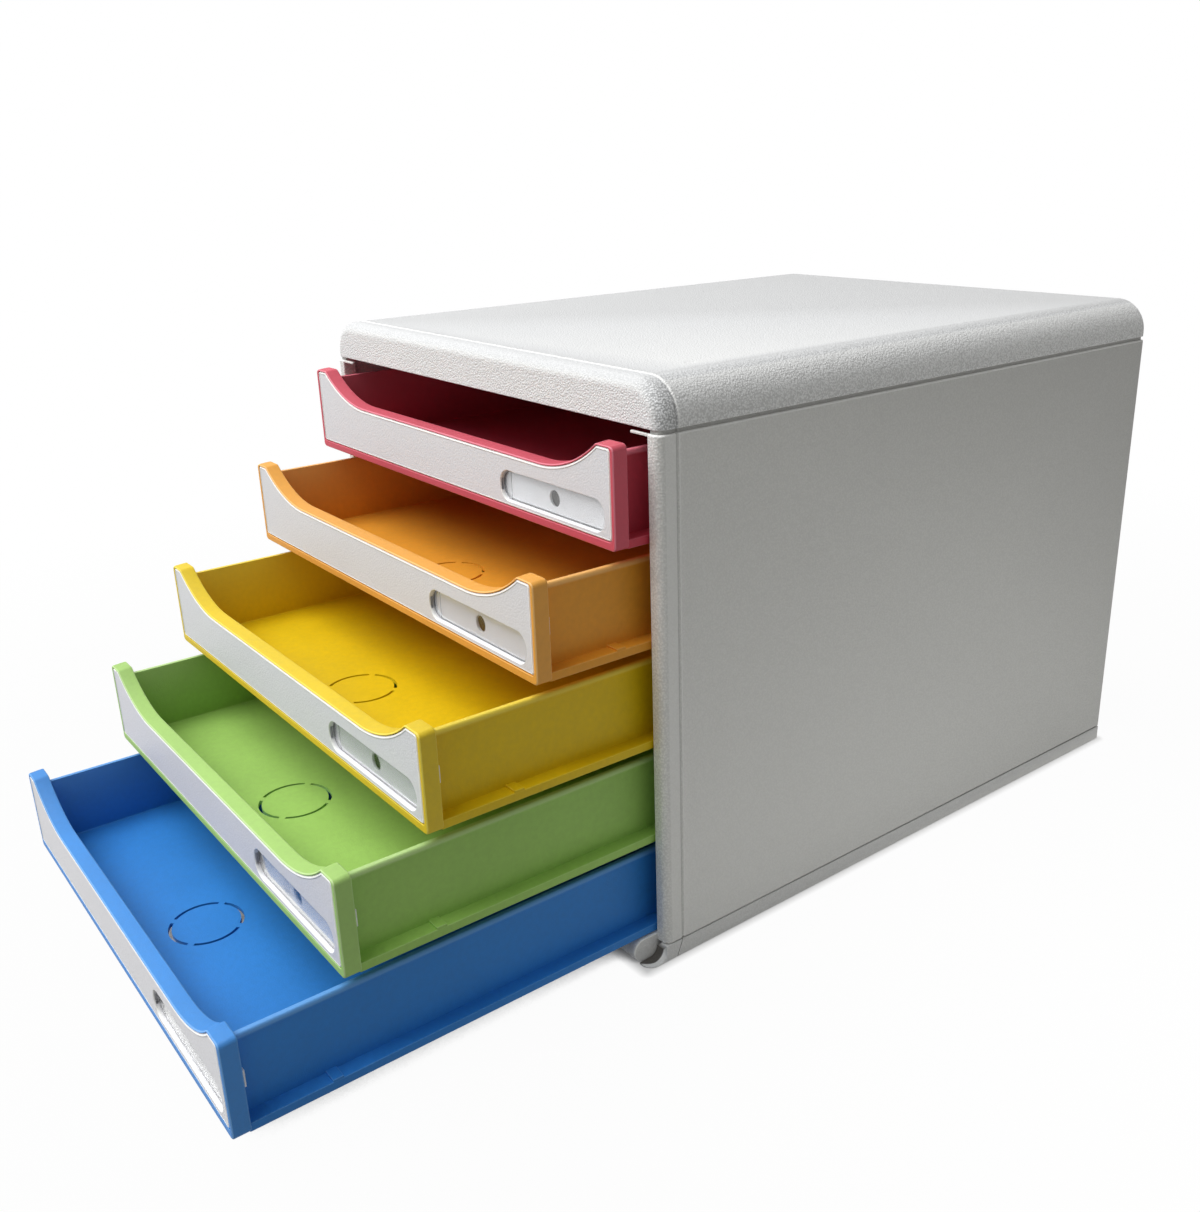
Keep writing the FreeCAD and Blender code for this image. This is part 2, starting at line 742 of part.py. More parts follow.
def make_tray(number):
    """Open tray: dipped front frame, thin walls with a turned-out rim, and a runner each side."""
    label = f"drawer_{number}_tray"
    body = new_body(label)
    rim_top = front_height - mm.rim_drop
    floor_top = mm.tray_floor_lift + mm.tray_floor
    inner_half = tray_side_outer - mm.tray_wall
    lip_half = tray_side_outer + mm.lip_reach
    section = new_sketch(body, f"{label}_section", "XZ_Plane", lift=-mm.front_thickness)
    add_outline(section, tray_section(floor_top, rim_top))
    trough_length = tray_length - mm.front_thickness
    extrude(body, "Pad", f"{label}_trough", section, trough_length, reverse=True)
    box(
        body,
        f"{label}_rear_wall",
        (-tray_side_outer, tray_side_outer),
        (tray_length - mm.tray_wall, tray_length),
        (mm.tray_floor_lift, rim_top),
    )
    box(
        body,
        f"{label}_rear_lip",
        (-lip_half, lip_half),
        (tray_length - mm.tray_wall, tray_length + mm.lip_reach),
        (rim_top - mm.lip_height, rim_top),
    )
    catch_top = mm.runner_thickness + mm.catch_height
    for name, outer, top, front, length in (
        ("catches", runner_side, catch_top, mm.catch_setback, mm.catch_length),
        ("lugs", runner_side + mm.lug_reach, mm.runner_thickness, lug_front, mm.lug_length),
    ):
        outline = new_sketch(body, f"{label}_{name}_outline", "XZ_Plane", lift=-front)
        for side in ("right", "left"):
            add_outline(outline, rectangle(*mirrored(side, inner_half, outer), ZERO, top))
        extrude(body, "Pad", f"{label}_{name}", outline, length, reverse=True)

    frame = new_sketch(body, f"{label}_front_outline", "XZ_Plane")
    border = mm.top_border + mm.plate_gap
    radius = mm.front_corner_radius + border
    add_outline(frame, front_outline(tray_front_half, ZERO, front_height, border, radius))
    block = extrude(body, "Pad", f"{label}_front", frame, mm.front_thickness, reverse=True)
    fillet(
        body,
        f"{label}_front_edge",
        block,
        mm.front_edge_radius,
        lambda points: all(near(point.y, ZERO) for point in points),
    )
    recess = new_sketch(body, f"{label}_recess_outline", "XZ_Plane")
    add_outline(recess, plate_outline(mm.plate_gap))
    extrude(body, "Pocket", f"{label}_recess", recess, mm.plate_thickness)
    cavity = new_sketch(body, f"{label}_cavity_outline", "XZ_Plane")
    add_outline(cavity, plate_outline(-mm.plate_seat))
    extrude(body, "Pocket", f"{label}_cavity", cavity, front_cavity)
    slots = new_sketch(body, f"{label}_clip_slots", "XZ_Plane", lift=-mm.plate_thickness)
    for side in ("right", "left"):
        clip_inner = clip_outer - mm.clip_thickness
        span = mirrored(side, clip_inner - mm.clip_gap, clip_outer + mm.clip_gap)
        bottom = mm.clip_rise - mm.clip_gap
        top = mm.clip_rise + mm.clip_height + mm.clip_gap
        add_outline(slots, rectangle(*span, bottom, top))
    slot_depth = mm.front_thickness - mm.plate_thickness + mm.overrun
    extrude(body, "Pocket", f"{label}_clip_slots_cut", slots, slot_depth)
    ring = new_sketch(body, f"{label}_ring_outline", "XY_Plane", lift=floor_top)
    for corners in ring_slots():
        add_outline(ring, corners)
    extrude(body, "Pocket", f"{label}_ring", ring, mm.tray_floor + mm.overrun)
    place_in_stack(body, number)
    return body


def make_face_plate(number):
    """Plate let into the tray's front, with a label cup and a clip at each end."""
    label = f"drawer_{number}_face_plate"
    body = new_body(label)
    outline = new_sketch(body, f"{label}_outline", "XZ_Plane")
    add_outline(outline, plate_outline(ZERO))
    extrude(body, "Pad", f"{label}_plate", outline, mm.plate_thickness, reverse=True)
    window_rear = mm.label_depth + mm.window_thickness
    space_rear = window_rear + mm.label_space
    cup = new_sketch(body, f"{label}_cup_outline", "XZ_Plane")
    add_outline(cup, label_outline(mm.cup_wall))
    extrude(body, "Pad", f"{label}_cup", cup, space_rear + mm.cup_floor, reverse=True)
    opening = new_sketch(body, f"{label}_opening_outline", "XZ_Plane")
    add_outline(opening, label_outline(ZERO))
    extrude(body, "Pocket", f"{label}_opening", opening, window_rear)
    space = new_sketch(body, f"{label}_space_outline", "XZ_Plane")
    add_outline(space, label_outline(-mm.window_seat))
    extrude(body, "Pocket", f"{label}_space", space, space_rear)
    hole = new_sketch(body, f"{label}_hole_outline", "XZ_Plane")
    add_circle(
        hole,
        (label_left + label_right) / 2,
        (label_bottom + label_top) / 2,
        mm.push_hole_diameter / 2,
    )
    extrude(body, "Pocket", f"{label}_hole", hole, space_rear + mm.cup_floor + mm.overrun)
    pick_bottom = label_bottom + mm.pick_slot_rise
    box(
        body,
        f"{label}_pick_slot",
        (label_left - mm.pick_slot_depth, label_left + mm.pick_slot_depth),
        (mm.pick_slot_setback, mm.pick_slot_setback + mm.pick_slot_width),
        (pick_bottom, pick_bottom + mm.pick_slot_height),
        cut=True,
    )
    clip_inner = clip_outer - mm.clip_thickness
    hook_front = mm.front_thickness + mm.clip_gap
    hook_rear = hook_front + mm.clip_hook_length
    clip_top = mm.clip_rise + mm.clip_height
    for name, outer, front in (
        ("clips", clip_outer, mm.plate_thickness),
        ("hooks", clip_outer + mm.clip_hook_reach, hook_front),
    ):
        outline = new_sketch(body, f"{label}_{name}_outline", "XZ_Plane", lift=-front)
        for side in ("right", "left"):
            add_outline(
                outline, rectangle(*mirrored(side, clip_inner, outer), mm.clip_rise, clip_top)
            )
        extrude(body, "Pad", f"{label}_{name}", outline, hook_rear - front, reverse=True)
    place_in_stack(body, number)
    return body


def make_label_window(number):
    """Clear window that rests on the step inside the label cup."""
    label = f"drawer_{number}_label_window"
    body = new_body(label)
    outline = new_sketch(body, f"{label}_outline", "XZ_Plane", lift=-mm.label_depth)
    add_outline(outline, label_outline(-mm.window_gap))
    extrude(body, "Pad", f"{label}_pane", outline, mm.window_thickness, reverse=True)
    place_in_stack(body, number)
    return body


def make_all():
    bodies = [
        make_top_cover(),
        make_side_panel("left"),
        make_side_panel("right"),
        make_base_tray(),
        make_back_panel(),
        make_bottom_front_rail(),
    ]
    for number in TRAY_NUMBERS:
        bodies += [make_tray(number), make_face_plate(number), make_label_window(number)]
    return bodies


def check_document(bodies):
    """Stop before anything is written if a feature failed or a piece isn't one sound solid."""
    for item in doc.Objects:
        if {"Invalid", "Error"} & set(item.State):
            raise RuntimeError(f"{item.Name} failed: {item.State}")
    for body in bodies:
        if body.Shape.isNull() or not body.Shape.isValid():
            raise RuntimeError(f"{body.Label} has no valid shape")
        if len(body.Shape.Solids) != 1:
            raise RuntimeError(f"{body.Label} is {len(body.Shape.Solids)} solids")


pieces = make_all()
doc.recompute()
check_document(pieces)
os.makedirs("parts", exist_ok=True)
for piece in pieces:
    piece.Shape.exportStep(f"parts/{piece.Label}.step")
    print(f"{piece.Label}: {piece.Shape.Volume / 1000:.2f} cm3")
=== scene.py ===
import math

import bmesh
import bpy
from mathutils import Matrix, Vector


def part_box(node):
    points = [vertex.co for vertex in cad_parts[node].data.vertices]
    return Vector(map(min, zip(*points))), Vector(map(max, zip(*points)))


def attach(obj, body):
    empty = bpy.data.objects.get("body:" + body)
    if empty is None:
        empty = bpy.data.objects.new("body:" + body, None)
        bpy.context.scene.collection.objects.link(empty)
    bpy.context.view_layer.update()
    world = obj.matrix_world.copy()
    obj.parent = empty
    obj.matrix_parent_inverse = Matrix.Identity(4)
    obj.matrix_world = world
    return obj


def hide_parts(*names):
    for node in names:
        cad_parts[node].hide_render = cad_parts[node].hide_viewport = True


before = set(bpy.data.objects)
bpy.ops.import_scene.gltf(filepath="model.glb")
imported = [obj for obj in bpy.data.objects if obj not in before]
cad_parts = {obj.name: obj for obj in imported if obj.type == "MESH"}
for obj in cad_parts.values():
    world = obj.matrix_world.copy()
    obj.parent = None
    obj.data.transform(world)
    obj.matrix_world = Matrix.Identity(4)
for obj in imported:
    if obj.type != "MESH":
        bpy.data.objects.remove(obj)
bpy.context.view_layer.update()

# The view: a short lens close to the tower, above it and off its right front corner, tipped a
# little about its own axis. The tower stands on a white table in a white room.

scene = bpy.context.scene
scene.view_settings.view_transform = "Standard"
lens = bpy.data.cameras.new("view")
lens.sensor_fit = "HORIZONTAL"
lens.sensor_width = 36.0
lens.lens = 36.459
lens.shift_x = -0.0157
lens.shift_y = -0.0078
lens.clip_start = 0.01
lens.clip_end = 60.0
camera = bpy.data.objects.new("view", lens)
scene.collection.objects.link(camera)
to_right = Vector((0.61292, 0.78966, -0.02750))
upward = Vector((-0.25318, 0.22925, 0.93986))
backward = Vector((0.74848, -0.56910, 0.34044))
turn = Matrix((to_right, upward, backward)).transposed().to_4x4()
camera.matrix_world = Matrix.Translation((0.4863, -0.4542, 0.3360)) @ turn
scene.camera = camera


# Table and light: matt white laminate under a broad soft light from above, in front and a little
# to the left, with a weak one lower at the left. The tower's right side has only the room's light.


def linear(code):
    """An sRGB hex colour as the linear colour that a socket takes."""
    channels = [int(code[place : place + 2], 16) / 255 for place in (1, 3, 5)]
    low = [c / 12.92 if c <= 0.04045 else ((c + 0.055) / 1.055) ** 2.4 for c in channels]
    return (*low, 1.0)


def add_node(tree, kind, inputs=None, **settings):
    """Add a node with its settings. An input's value is a constant or the socket it comes from."""
    made = tree.nodes.new(kind)
    for name, value in settings.items():
        setattr(made, name, value)
    for name, value in (inputs or {}).items():
        if isinstance(value, bpy.types.NodeSocket):
            tree.links.new(value, made.inputs[name])
        else:
            made.inputs[name].default_value = value
    return made


def new_material(name):
    material = bpy.data.materials.new(name)
    material.use_nodes = True
    material.node_tree.nodes.clear()
    return material, material.node_tree


def seen_rays(tree):
    """One for the rays that show a thing, straight, mirrored or through glass."""
    rays = add_node(tree, "ShaderNodeLightPath").outputs
    mirrored = add_node(
        tree,
        "ShaderNodeMath",
        {0: rays["Is Glossy Ray"], 1: rays["Is Transmission Ray"]},
        operation="MAXIMUM",
    )
    return add_node(
        tree,
        "ShaderNodeMath",
        {0: rays["Is Camera Ray"], 1: mirrored.outputs[0]},
        operation="MAXIMUM",
    ).outputs[0]


room = bpy.data.worlds.new("white_room")
scene.world = room
room.use_nodes = True
room.node_tree.nodes.clear()
shown = add_node(
    room.node_tree, "ShaderNodeBackground", {"Color": linear("#FFFFFF"), "Strength": 1.0}
)
lighting = add_node(
    room.node_tree, "ShaderNodeBackground", {"Color": linear("#F8F8F6"), "Strength": 0.3}
)
mixed = add_node(
    room.node_tree,
    "ShaderNodeMixShader",
    {0: seen_rays(room.node_tree), 1: lighting.outputs[0], 2: shown.outputs[0]},
)
add_node(room.node_tree, "ShaderNodeOutputWorld", {"Surface": mixed.outputs[0]})

# White laminate: matt, its fine stipple too small to see. Its colour is painted lightest beside
# the casing's right and greyer further off, a painted pool of light that sets how much light it
# sends back onto the tower. It is kept bright where it is seen, so that only a thin faint shadow
# lies at the tower's foot, and it is dark under the casing and where a tray lies close above it
TABLE_HALF, TABLE_LEVEL = 20.0, -0.0004
CASING_MIDDLE, CASING_HALF = (0, -0.00525, 0), (0.1365, 0.17325, 1)
LIT_MIDDLE, LIT_HALF, LIT_REACH = (0.25, 0.08, 0), (0.1, 0.1, 1), 0.27
CLOSE_ABOVE = 0.05
laminate, tree = new_material("white_laminate")
ground = add_node(tree, "ShaderNodeTexCoord").outputs["Object"]


def past(middle, half):
    """How far a place on the table lies past a rectangle's sides."""
    value = add_node(tree, "ShaderNodeVectorMath", {0: ground, 1: middle}, operation="SUBTRACT")
    for operation, other in (("ABSOLUTE", None), ("SUBTRACT", half), ("MAXIMUM", (0, 0, 0))):
        inputs = {0: value.outputs[0]}
        if other:
            inputs[1] = other
        value = add_node(tree, "ShaderNodeVectorMath", inputs, operation=operation)
    length = add_node(tree, "ShaderNodeVectorMath", {0: value.outputs[0]}, operation="LENGTH")
    return length.outputs["Value"]


past_casing = past(CASING_MIDDLE, CASING_HALF)
nearby = add_node(tree, "ShaderNodeAmbientOcclusion", {"Distance": CLOSE_ABOVE})
open_above = nearby.outputs["AO"]
bright = seen_rays(tree)
for measure, start, end, least, most in (
    (past_casing, 0.0, 0.005, 0.4, 1.0),
    (past_casing, 0.05, 0.6, 0.97, 1.0),
    (open_above, 0.08, 0.2, 0.0, 1.0),
):
    share = add_node(
        tree, "ShaderNodeMapRange", {"Value": measure, 1: start, 2: end, 3: least, 4: most}
    )
    product = add_node(
        tree, "ShaderNodeMath", {0: bright, 1: share.outputs[0]}, operation="MULTIPLY"
    )
    bright = product.outputs[0]
# A painted pool of light: the laminate's colour greys away from the patch beside the casing's
# right
away = add_node(
    tree, "ShaderNodeMapRange", {"Value": past(LIT_MIDDLE, LIT_HALF), 1: 0.0, 2: LIT_REACH}
)
white = add_node(
    tree,
    "ShaderNodeMix",
    {0: away.outputs[0], 6: linear("#FAFAF8"), 7: linear("#929290")},
    data_type="RGBA",
)
matt = add_node(tree, "ShaderNodeBsdfDiffuse", {"Color": white.outputs[2]})
glow = add_node(tree, "ShaderNodeEmission", {"Color": linear("#FFFFFF"), "Strength": 1.0})
mixed = add_node(
    tree, "ShaderNodeMixShader", {0: bright, 1: matt.outputs[0], 2: glow.outputs[0]}
)
add_node(tree, "ShaderNodeOutputMaterial", {"Surface": mixed.outputs[0]})

table_mesh = bpy.data.meshes.new("table")
corners = [
    (x * TABLE_HALF, y * TABLE_HALF, TABLE_LEVEL) for x, y in ((-1, -1), (1, -1), (1, 1), (-1, 1))
]
table_mesh.from_pydata(corners, [], [(0, 1, 2, 3)])
table_mesh.materials.append(laminate)
table = bpy.data.objects.new("table", table_mesh)
scene.collection.objects.link(table)

AIM = Vector((0.0, -0.12, 0.12))
for name, place, width, power in (
    ("soft_light", (-0.55, -1.25, 2.15), 1.9, 64.0),
    ("front_light", (-1.6, -1.9, 0.75), 1.6, 9.0),
):
    glowing = bpy.data.lights.new(name, "AREA")
    glowing.shape = "SQUARE"
    glowing.size = width
    glowing.energy = power
    lamp = bpy.data.objects.new(name, glowing)
    lamp.location = place
    facing = AIM - lamp.location
    lamp.rotation_euler = facing.to_track_quat("-Z", "Y").to_euler()
    scene.collection.objects.link(lamp)


# Top cover: one shell in light grey ABS, injection moulded with a leather grain, its long edges
# rounded wide and its front edge more narrowly. It rests on the panels, and six tabs locate it.

MM = 0.001
COVER_HALF, COVER_FRONT, COVER_REAR = 137.5, -168.0, 168.0
COVER_TOP, COVER_SEAM, COVER_WALL = 257.0, 238.0, 2.4
COVER_SIDE_RADIUS, COVER_FRONT_RADIUS, COVER_REAR_RADIUS = 16.5, 5.5, 1.2
COVER_RIM_RADIUS = 0.5
TAB_INNER, TAB_OUTER, TAB_BOTTOM, TAB_TOP = 133.5, 135.1, 233.0, 245.0
TAB_HALF, TAB_SPACING = 6.0, 100.8
# Depths behind the front face at which its rounding is drawn, and the highlight painted there
FRONT_ROUNDING = (
    (0.0, 0.35),
    (0.05, 0.35),
    (0.16, 0.35),
    (0.3, 0.35),
    (0.5, 0.3),
    (0.9, 0.1),
    (1.5, 0.0),
    (2.3, 0.0),
    (3.3, 0.0),
    (4.4, 0.0),
    (5.5, 0.0),
)
REAR_ROUNDING = (1.2, 0.75, 0.4, 0.16, 0.0)
LINE_MIDDLE = -158.3  # the shallow line that runs round the casing, along the depth
# Across the line: its depth, and the light painted there, a highlight above zero and shade below
LINE_PROFILE = (
    (-1.15, 0.0, 0.0),
    (-1.0, 0.1, -0.2),
    (-0.9, 0.6, -0.8),
    (-0.5, 0.6, -0.3),
    (0.25, 0.6, 0.0),
    (0.4, 0.5, 0.6),
    (0.65, 0.08, 1.0),
    (0.9, 0.0, 0.7),
    (1.15, 0.0, 0.0),
)
LINE_STATIONS = [(LINE_MIDDLE + across, deep, painted_light) for across, deep, painted_light in LINE_PROFILE]
BEHIND_LINE = LINE_STATIONS[-1][0] - 0.05  # from the line's rear edge on
GATE_MARK = (111.6, -129.6, 2.9, 0.35)  # place, radius and depth of the gate's shallow dimple


def arc(across, up, radius, first, last, steps):
    """Points of an arc, from one angle in degrees to another."""
    angles = [math.radians(first + (last - first) * k / steps) for k in range(steps + 1)]
    return [(across + radius * math.cos(a), up + radius * math.sin(a)) for a in angles]


def round_over(depth, radius):
    """How far a rounded edge lies inside its corner, at a depth behind the face."""
    if depth >= radius:
        return 0.0
    return radius - math.sqrt(radius * radius - (radius - depth) ** 2)


def shell(rings, painted_light=None, looped=False):
    """A closed skin over rings of equal length, given in millimetres. The light painted on it is
    given
    for each ring, or for each of its points: a highlight above zero and shade below."""
    made = bmesh.new()
    edge = made.verts.layers.float.new("edge")
    loops = []
    for number, ring in enumerate(rings):
        loops.append([made.verts.new([value * MM for value in point]) for point in ring])
        level = painted_light[number] if painted_light else 0.0
        for place, vertex in enumerate(loops[-1]):
            vertex[edge] = level[place] if isinstance(level, list) else level
    pairs = list(zip(loops, loops[1:]))
    if looped:
        pairs.append((loops[-1], loops[0]))
    for low, high in pairs:
        for place in range(len(low)):
            after = (place + 1) % len(low)
            made.faces.new((low[place], low[after], high[after], high[place]))
    if not looped:
        made.faces.new(loops[0])
        made.faces.new(loops[-1])
    bmesh.ops.recalc_face_normals(made, faces=made.faces)
    mesh = bpy.data.meshes.new("shell")
    made.to_mesh(mesh)
    made.free()
    return mesh


EVERYWHERE = (-math.inf, math.inf)


def paint_light(mesh, painted_light, across=EVERYWHERE, along=EVERYWHERE, up=EVERYWHERE):
    """Paint light on the points within these spans, in millimetres, on either hand of the tower: a
    highlight above zero, shade below.
    """
    for vertex, edge in zip(mesh.vertices, mesh.attributes["edge"].data):
        place = [value / MM for value in (abs(vertex.co.x), vertex.co.y, vertex.co.z)]
        if all(low <= value <= high for value, (low, high) in zip(place, (across, along, up))):
            edge.value = painted_light


def as_mesh(thing):
    """The mesh that an object's modifiers give."""
    scene.view_layers[0].update()
    return bpy.data.meshes.new_from_object(
        thing.evaluated_get(bpy.context.evaluated_depsgraph_get())
    )


def held(mesh, name="held"):
    """An object in the scene that holds a mesh."""
    thing = bpy.data.objects.new(name, mesh)
    scene.collection.objects.link(thing)
    return thing


def cut(mesh, *tools):
    """The mesh without the space that the tools take up."""
    body = held(mesh)
    helpers = [held(tool) for tool in tools]
    for helper in helpers:
        step = body.modifiers.new("cut", "BOOLEAN")
        step.operation = "DIFFERENCE"
        step.solver = "EXACT"
        step.object = helper
    result = as_mesh(body)
    for thing in (body, *helpers):
        bpy.data.objects.remove(thing)
    return result


def joined(meshes, place=(0.0, 0.0, 0.0)):
    """One mesh from several, moved to a place in metres."""
    made = bmesh.new()
    for mesh in meshes:
        made.from_mesh(mesh)
    for face in made.faces:
        face.material_index = 0
    bmesh.ops.translate(made, vec=Vector(place), verts=made.verts)
    mesh = bpy.data.meshes.new("joined")
    made.to_mesh(mesh)
    made.free()
    return mesh


CREASE = 34.0  # faces that meet at more degrees than this keep a sharp edge


def moulding(name, meshes, material, place=(0.0, 0.0, 0.0)):
    """One object from several meshes, flat faces kept flat in the shading."""
    mesh = joined(meshes, place)
    mesh.shade_smooth()
    mesh.set_sharp_from_angle(angle=math.radians(CREASE))
    thing = held(mesh, name)
    even = thing.modifiers.new("even", "WEIGHTED_NORMAL")
    even.keep_sharp = True
    thing.data = as_mesh(thing)
    thing.modifiers.clear()
    thing.data.name = name
    thing.data.materials.clear()
    thing.data.materials.append(material)
    return thing


def toned(colour, share, most=1.0):
    """A hex colour made darker or lighter, as the linear colour that a socket takes."""
    return (*[min(channel * share, most) for channel in linear(colour)[:3]], 1.0)


def painted_light_colour(tree, body, highlight_colour, shade):
    """The body's colour, with a painted highlight where the edge value is above zero and painted
    shade, with dust in the seams, where it is below zero.
    """
    edge = add_node(tree, "ShaderNodeAttribute", attribute_name="edge").outputs["Fac"]
    hidden = add_node(tree, "ShaderNodeMath", {0: edge, 1: -1.0}, operation="MULTIPLY")
    for share, other in ((edge, highlight_colour), (hidden.outputs[0], shade)):
        mixed = add_node(
            tree, "ShaderNodeMix", {0: share, 6: body, 7: linear(other)}, data_type="RGBA"
        )
        body = mixed.outputs[2]
    return body


def grained_abs(name, colour, grain, relief, roughness, facing):
    """Light grey ABS, injection moulded in a tool etched with a leather grain: a dull plastic
    whose pebbles catch the light one by one, with painted highlights on its edges and painted
    shade, with dust, in its seams. The real pebbles are about half a millimetre wide, and are
    drawn coarser so that they show. Shade is painted into their hollows and light onto their tops,
    and facing says how strongly on the sides, the front and the top, as the light grazes the sides
    and falls flat on the top and front."""
    material, tree = new_material(name)
    coordinates = add_node(tree, "ShaderNodeTexCoord").outputs
    place = coordinates["Object"]
    drift = add_node(
        tree, "ShaderNodeTexNoise", {"Vector": place, "Scale": 0.6 / (grain * MM), "Detail": 2.0}
    )
    bent = add_node(
        tree,
        "ShaderNodeMix",
        {0: 0.0006 * grain, 4: place, 5: drift.outputs["Color"]},
        data_type="VECTOR",
    )
    pebbles = add_node(
        tree,
        "ShaderNodeTexVoronoi",
        {"Vector": bent.outputs[1], "Scale": 1.0 / (grain * MM), "Smoothness": 0.4},
        feature="SMOOTH_F1",
    )
    dust = add_node(
        tree, "ShaderNodeTexNoise", {"Vector": place, "Scale": 1600.0, "Detail": 3.0}
    )
    height = add_node(
        tree,
        "ShaderNodeMath",
        {0: dust.outputs["Fac"], 1: 0.35, 2: pebbles.outputs["Distance"]},
        operation="MULTIPLY_ADD",
    )
    bump = add_node(
        tree,
        "ShaderNodeBump",
        {"Strength": 1.0, "Distance": relief * MM, "Height": height.outputs[0]},
        invert=True,
    )
    clouds = add_node(tree, "ShaderNodeTexNoise", {"Vector": place, "Scale": 14.0, "Detail": 3.0})
    # Painted shade in the pebbles' hollows and painted light on their tops, strongest where the
    # light grazes the sides
    painted_hollow_shade = add_node(
        tree,
        "ShaderNodeMapRange",
        {"Value": pebbles.outputs["Distance"], 1: 0.2, 2: 0.65, 3: 0.55, 4: -0.45},
    )
    normal = add_node(
        tree, "ShaderNodeVectorMath", {0: coordinates["Normal"]}, operation="ABSOLUTE"
    )
    plain = add_node(
        tree, "ShaderNodeVectorMath", {0: normal.outputs[0], 1: facing}, operation="DOT_PRODUCT"
    )
    relieved = add_node(
        tree,
        "ShaderNodeMath",
        {0: painted_hollow_shade.outputs[0], 1: plain.outputs["Value"], 2: 0.56},
        operation="MULTIPLY_ADD",
    )
    shade = add_node(
        tree,
        "ShaderNodeMath",
        {0: clouds.outputs["Fac"], 1: 0.08, 2: relieved.outputs[0]},
        operation="MULTIPLY_ADD",
        use_clamp=True,
    )
    body = add_node(
        tree,
        "ShaderNodeMix",
        {0: shade.outputs[0], 6: toned(colour, 0.62), 7: toned(colour, 1.25, 0.96)},
        data_type="RGBA",
    )
    gloss = add_node(
        tree,
        "ShaderNodeMapRange",
        {"Value": clouds.outputs["Fac"], 3: roughness - 0.05, 4: roughness + 0.05},
    )
    surface = add_node(
        tree,
        "ShaderNodeBsdfPrincipled",
        {
            "Base Color": painted_light_colour(tree, body.outputs[2], "#FAFAF8", "#5C5955"),
            "Roughness": gloss.outputs[0],
            "IOR": 1.53,
            "Specular IOR Level": 0.4,
            "Normal": bump.outputs[0],
        },
    )
    add_node(tree, "ShaderNodeOutputMaterial", {"Surface": surface.outputs[0]})
    return material


cover_abs = grained_abs("grained_abs_cover", "#DADBDC", 0.85, 0.32, 0.5, (1.4, 0.35, 0.1))


def cover_section(inset, bottom):
    """The cover's cross-section, drawn in by inset, its rims softened."""
    side, top = COVER_HALF - inset, COVER_TOP - inset
    radius = COVER_SIDE_RADIUS - inset
    right = arc(side - COVER_RIM_RADIUS, bottom + COVER_RIM_RADIUS, COVER_RIM_RADIUS, -90, 0, 3)
    right += arc(side - radius, top - radius, radius, 0, 90, 18)
    return right + [(-across, up) for across, up in reversed(right)]


# Places along the cover: how far the section is drawn in, its rim lifted and the light painted on
# it
stations = []
for deep, painted_light in FRONT_ROUNDING:
    inset, lift = round_over(deep, COVER_FRONT_RADIUS), round_over(deep, COVER_RIM_RADIUS)
    stations.append((COVER_FRONT + deep, inset, lift, painted_light))
for along, deep, painted_light in LINE_STATIONS:
    stations.append((along, deep, 0.0, painted_light))
for deep in REAR_ROUNDING:
    inset, lift = round_over(deep, COVER_REAR_RADIUS), round_over(deep, COVER_RIM_RADIUS)
    stations.append((COVER_REAR - deep, inset, lift, 0.0))
outside = shell(
    [
        [(x, along, z) for x, z in cover_section(inset, COVER_SEAM + lift)]
        for along, inset, lift, _ in stations
    ],
    [painted_light for _, _, _, painted_light in stations],
)
# A highlight is painted on the side roundings behind the line, and the top is painted darker there
# and at the rear
line_rear = (BEHIND_LINE, BEHIND_LINE + 1.0)
cover_rear = (COVER_REAR - 8.0, COVER_REAR + 1.0)
paint_light(outside, 0.45, along=(BEHIND_LINE, COVER_REAR + 1.0), up=(0.0, COVER_TOP - 2.0))
paint_light(outside, -0.12, along=line_rear, up=(COVER_TOP - 0.1, COVER_TOP + 1.0))
paint_light(outside, -0.17, along=cover_rear, up=(COVER_TOP - 1.0, COVER_TOP + 1.0))
mark_x, mark_y, mark_radius, mark_depth = GATE_MARK
gate_mark = shell(
    [
        [(x, y, level) for x, y in arc(mark_x, mark_y, radius, 0, 345, 23)]
        for radius, level in (
            (mark_radius * 0.3, COVER_TOP - mark_depth),
            (mark_radius * 0.7, COVER_TOP - 0.6 * mark_depth),
            (mark_radius, COVER_TOP),
            (mark_radius, COVER_TOP + 1.0),
        )
    ]
)
hollow = shell(
    [
        [(x, along, z) for x, z in cover_section(COVER_WALL, COVER_SEAM - 2.0)]
        for along in (COVER_FRONT + COVER_WALL, COVER_REAR - COVER_WALL)
    ]
)


def soft_block(x0, x1, y0, y1, z0, z1, soft, painted_light=0.0):
    """A block whose edges and corners are all rounded, with the given light painted on its
    roundings: a highlight above zero, shade below.
    """
    rings = []
    for part in (0.0, 0.3, 1.0):
        rings.append((round_over(part * soft, soft), z0 + part * soft))
    rings += [(inset, z0 + z1 - level) for inset, level in reversed(rings)]
    stack = []
    for inset, level in rings:
        left, right, front, rear = x0 + inset, x1 - inset, y0 + inset, y1 - inset
        radius = max(soft - inset, soft * 0.05)
        ring = arc(right - radius, front + radius, radius, -90, 0, 2)
        ring += arc(right - radius, rear - radius, radius, 0, 90, 2)
        ring += arc(left + radius, rear - radius, radius, 90, 180, 2)
        ring += arc(left + radius, front + radius, radius, 180, 270, 2)
        stack.append([(x, y, level) for x, y in ring])
    return shell(stack, [0.0, painted_light, 0.0, 0.0, painted_light, 0.0])


tabs = []
for hand in (-1, 1):
    for along in (-TAB_SPACING, 0.0, TAB_SPACING):
        sides = sorted((hand * TAB_INNER, hand * TAB_OUTER))
        ends = (along - TAB_HALF, along + TAB_HALF)
        tabs.append(soft_block(*sides, *ends, TAB_BOTTOM, TAB_TOP, 0.3))
top_cover = moulding("top_cover_shell", [cut(outside, hollow, gate_mark), *tabs], cover_abs)
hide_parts("top_cover")
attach(top_cover, "casing")


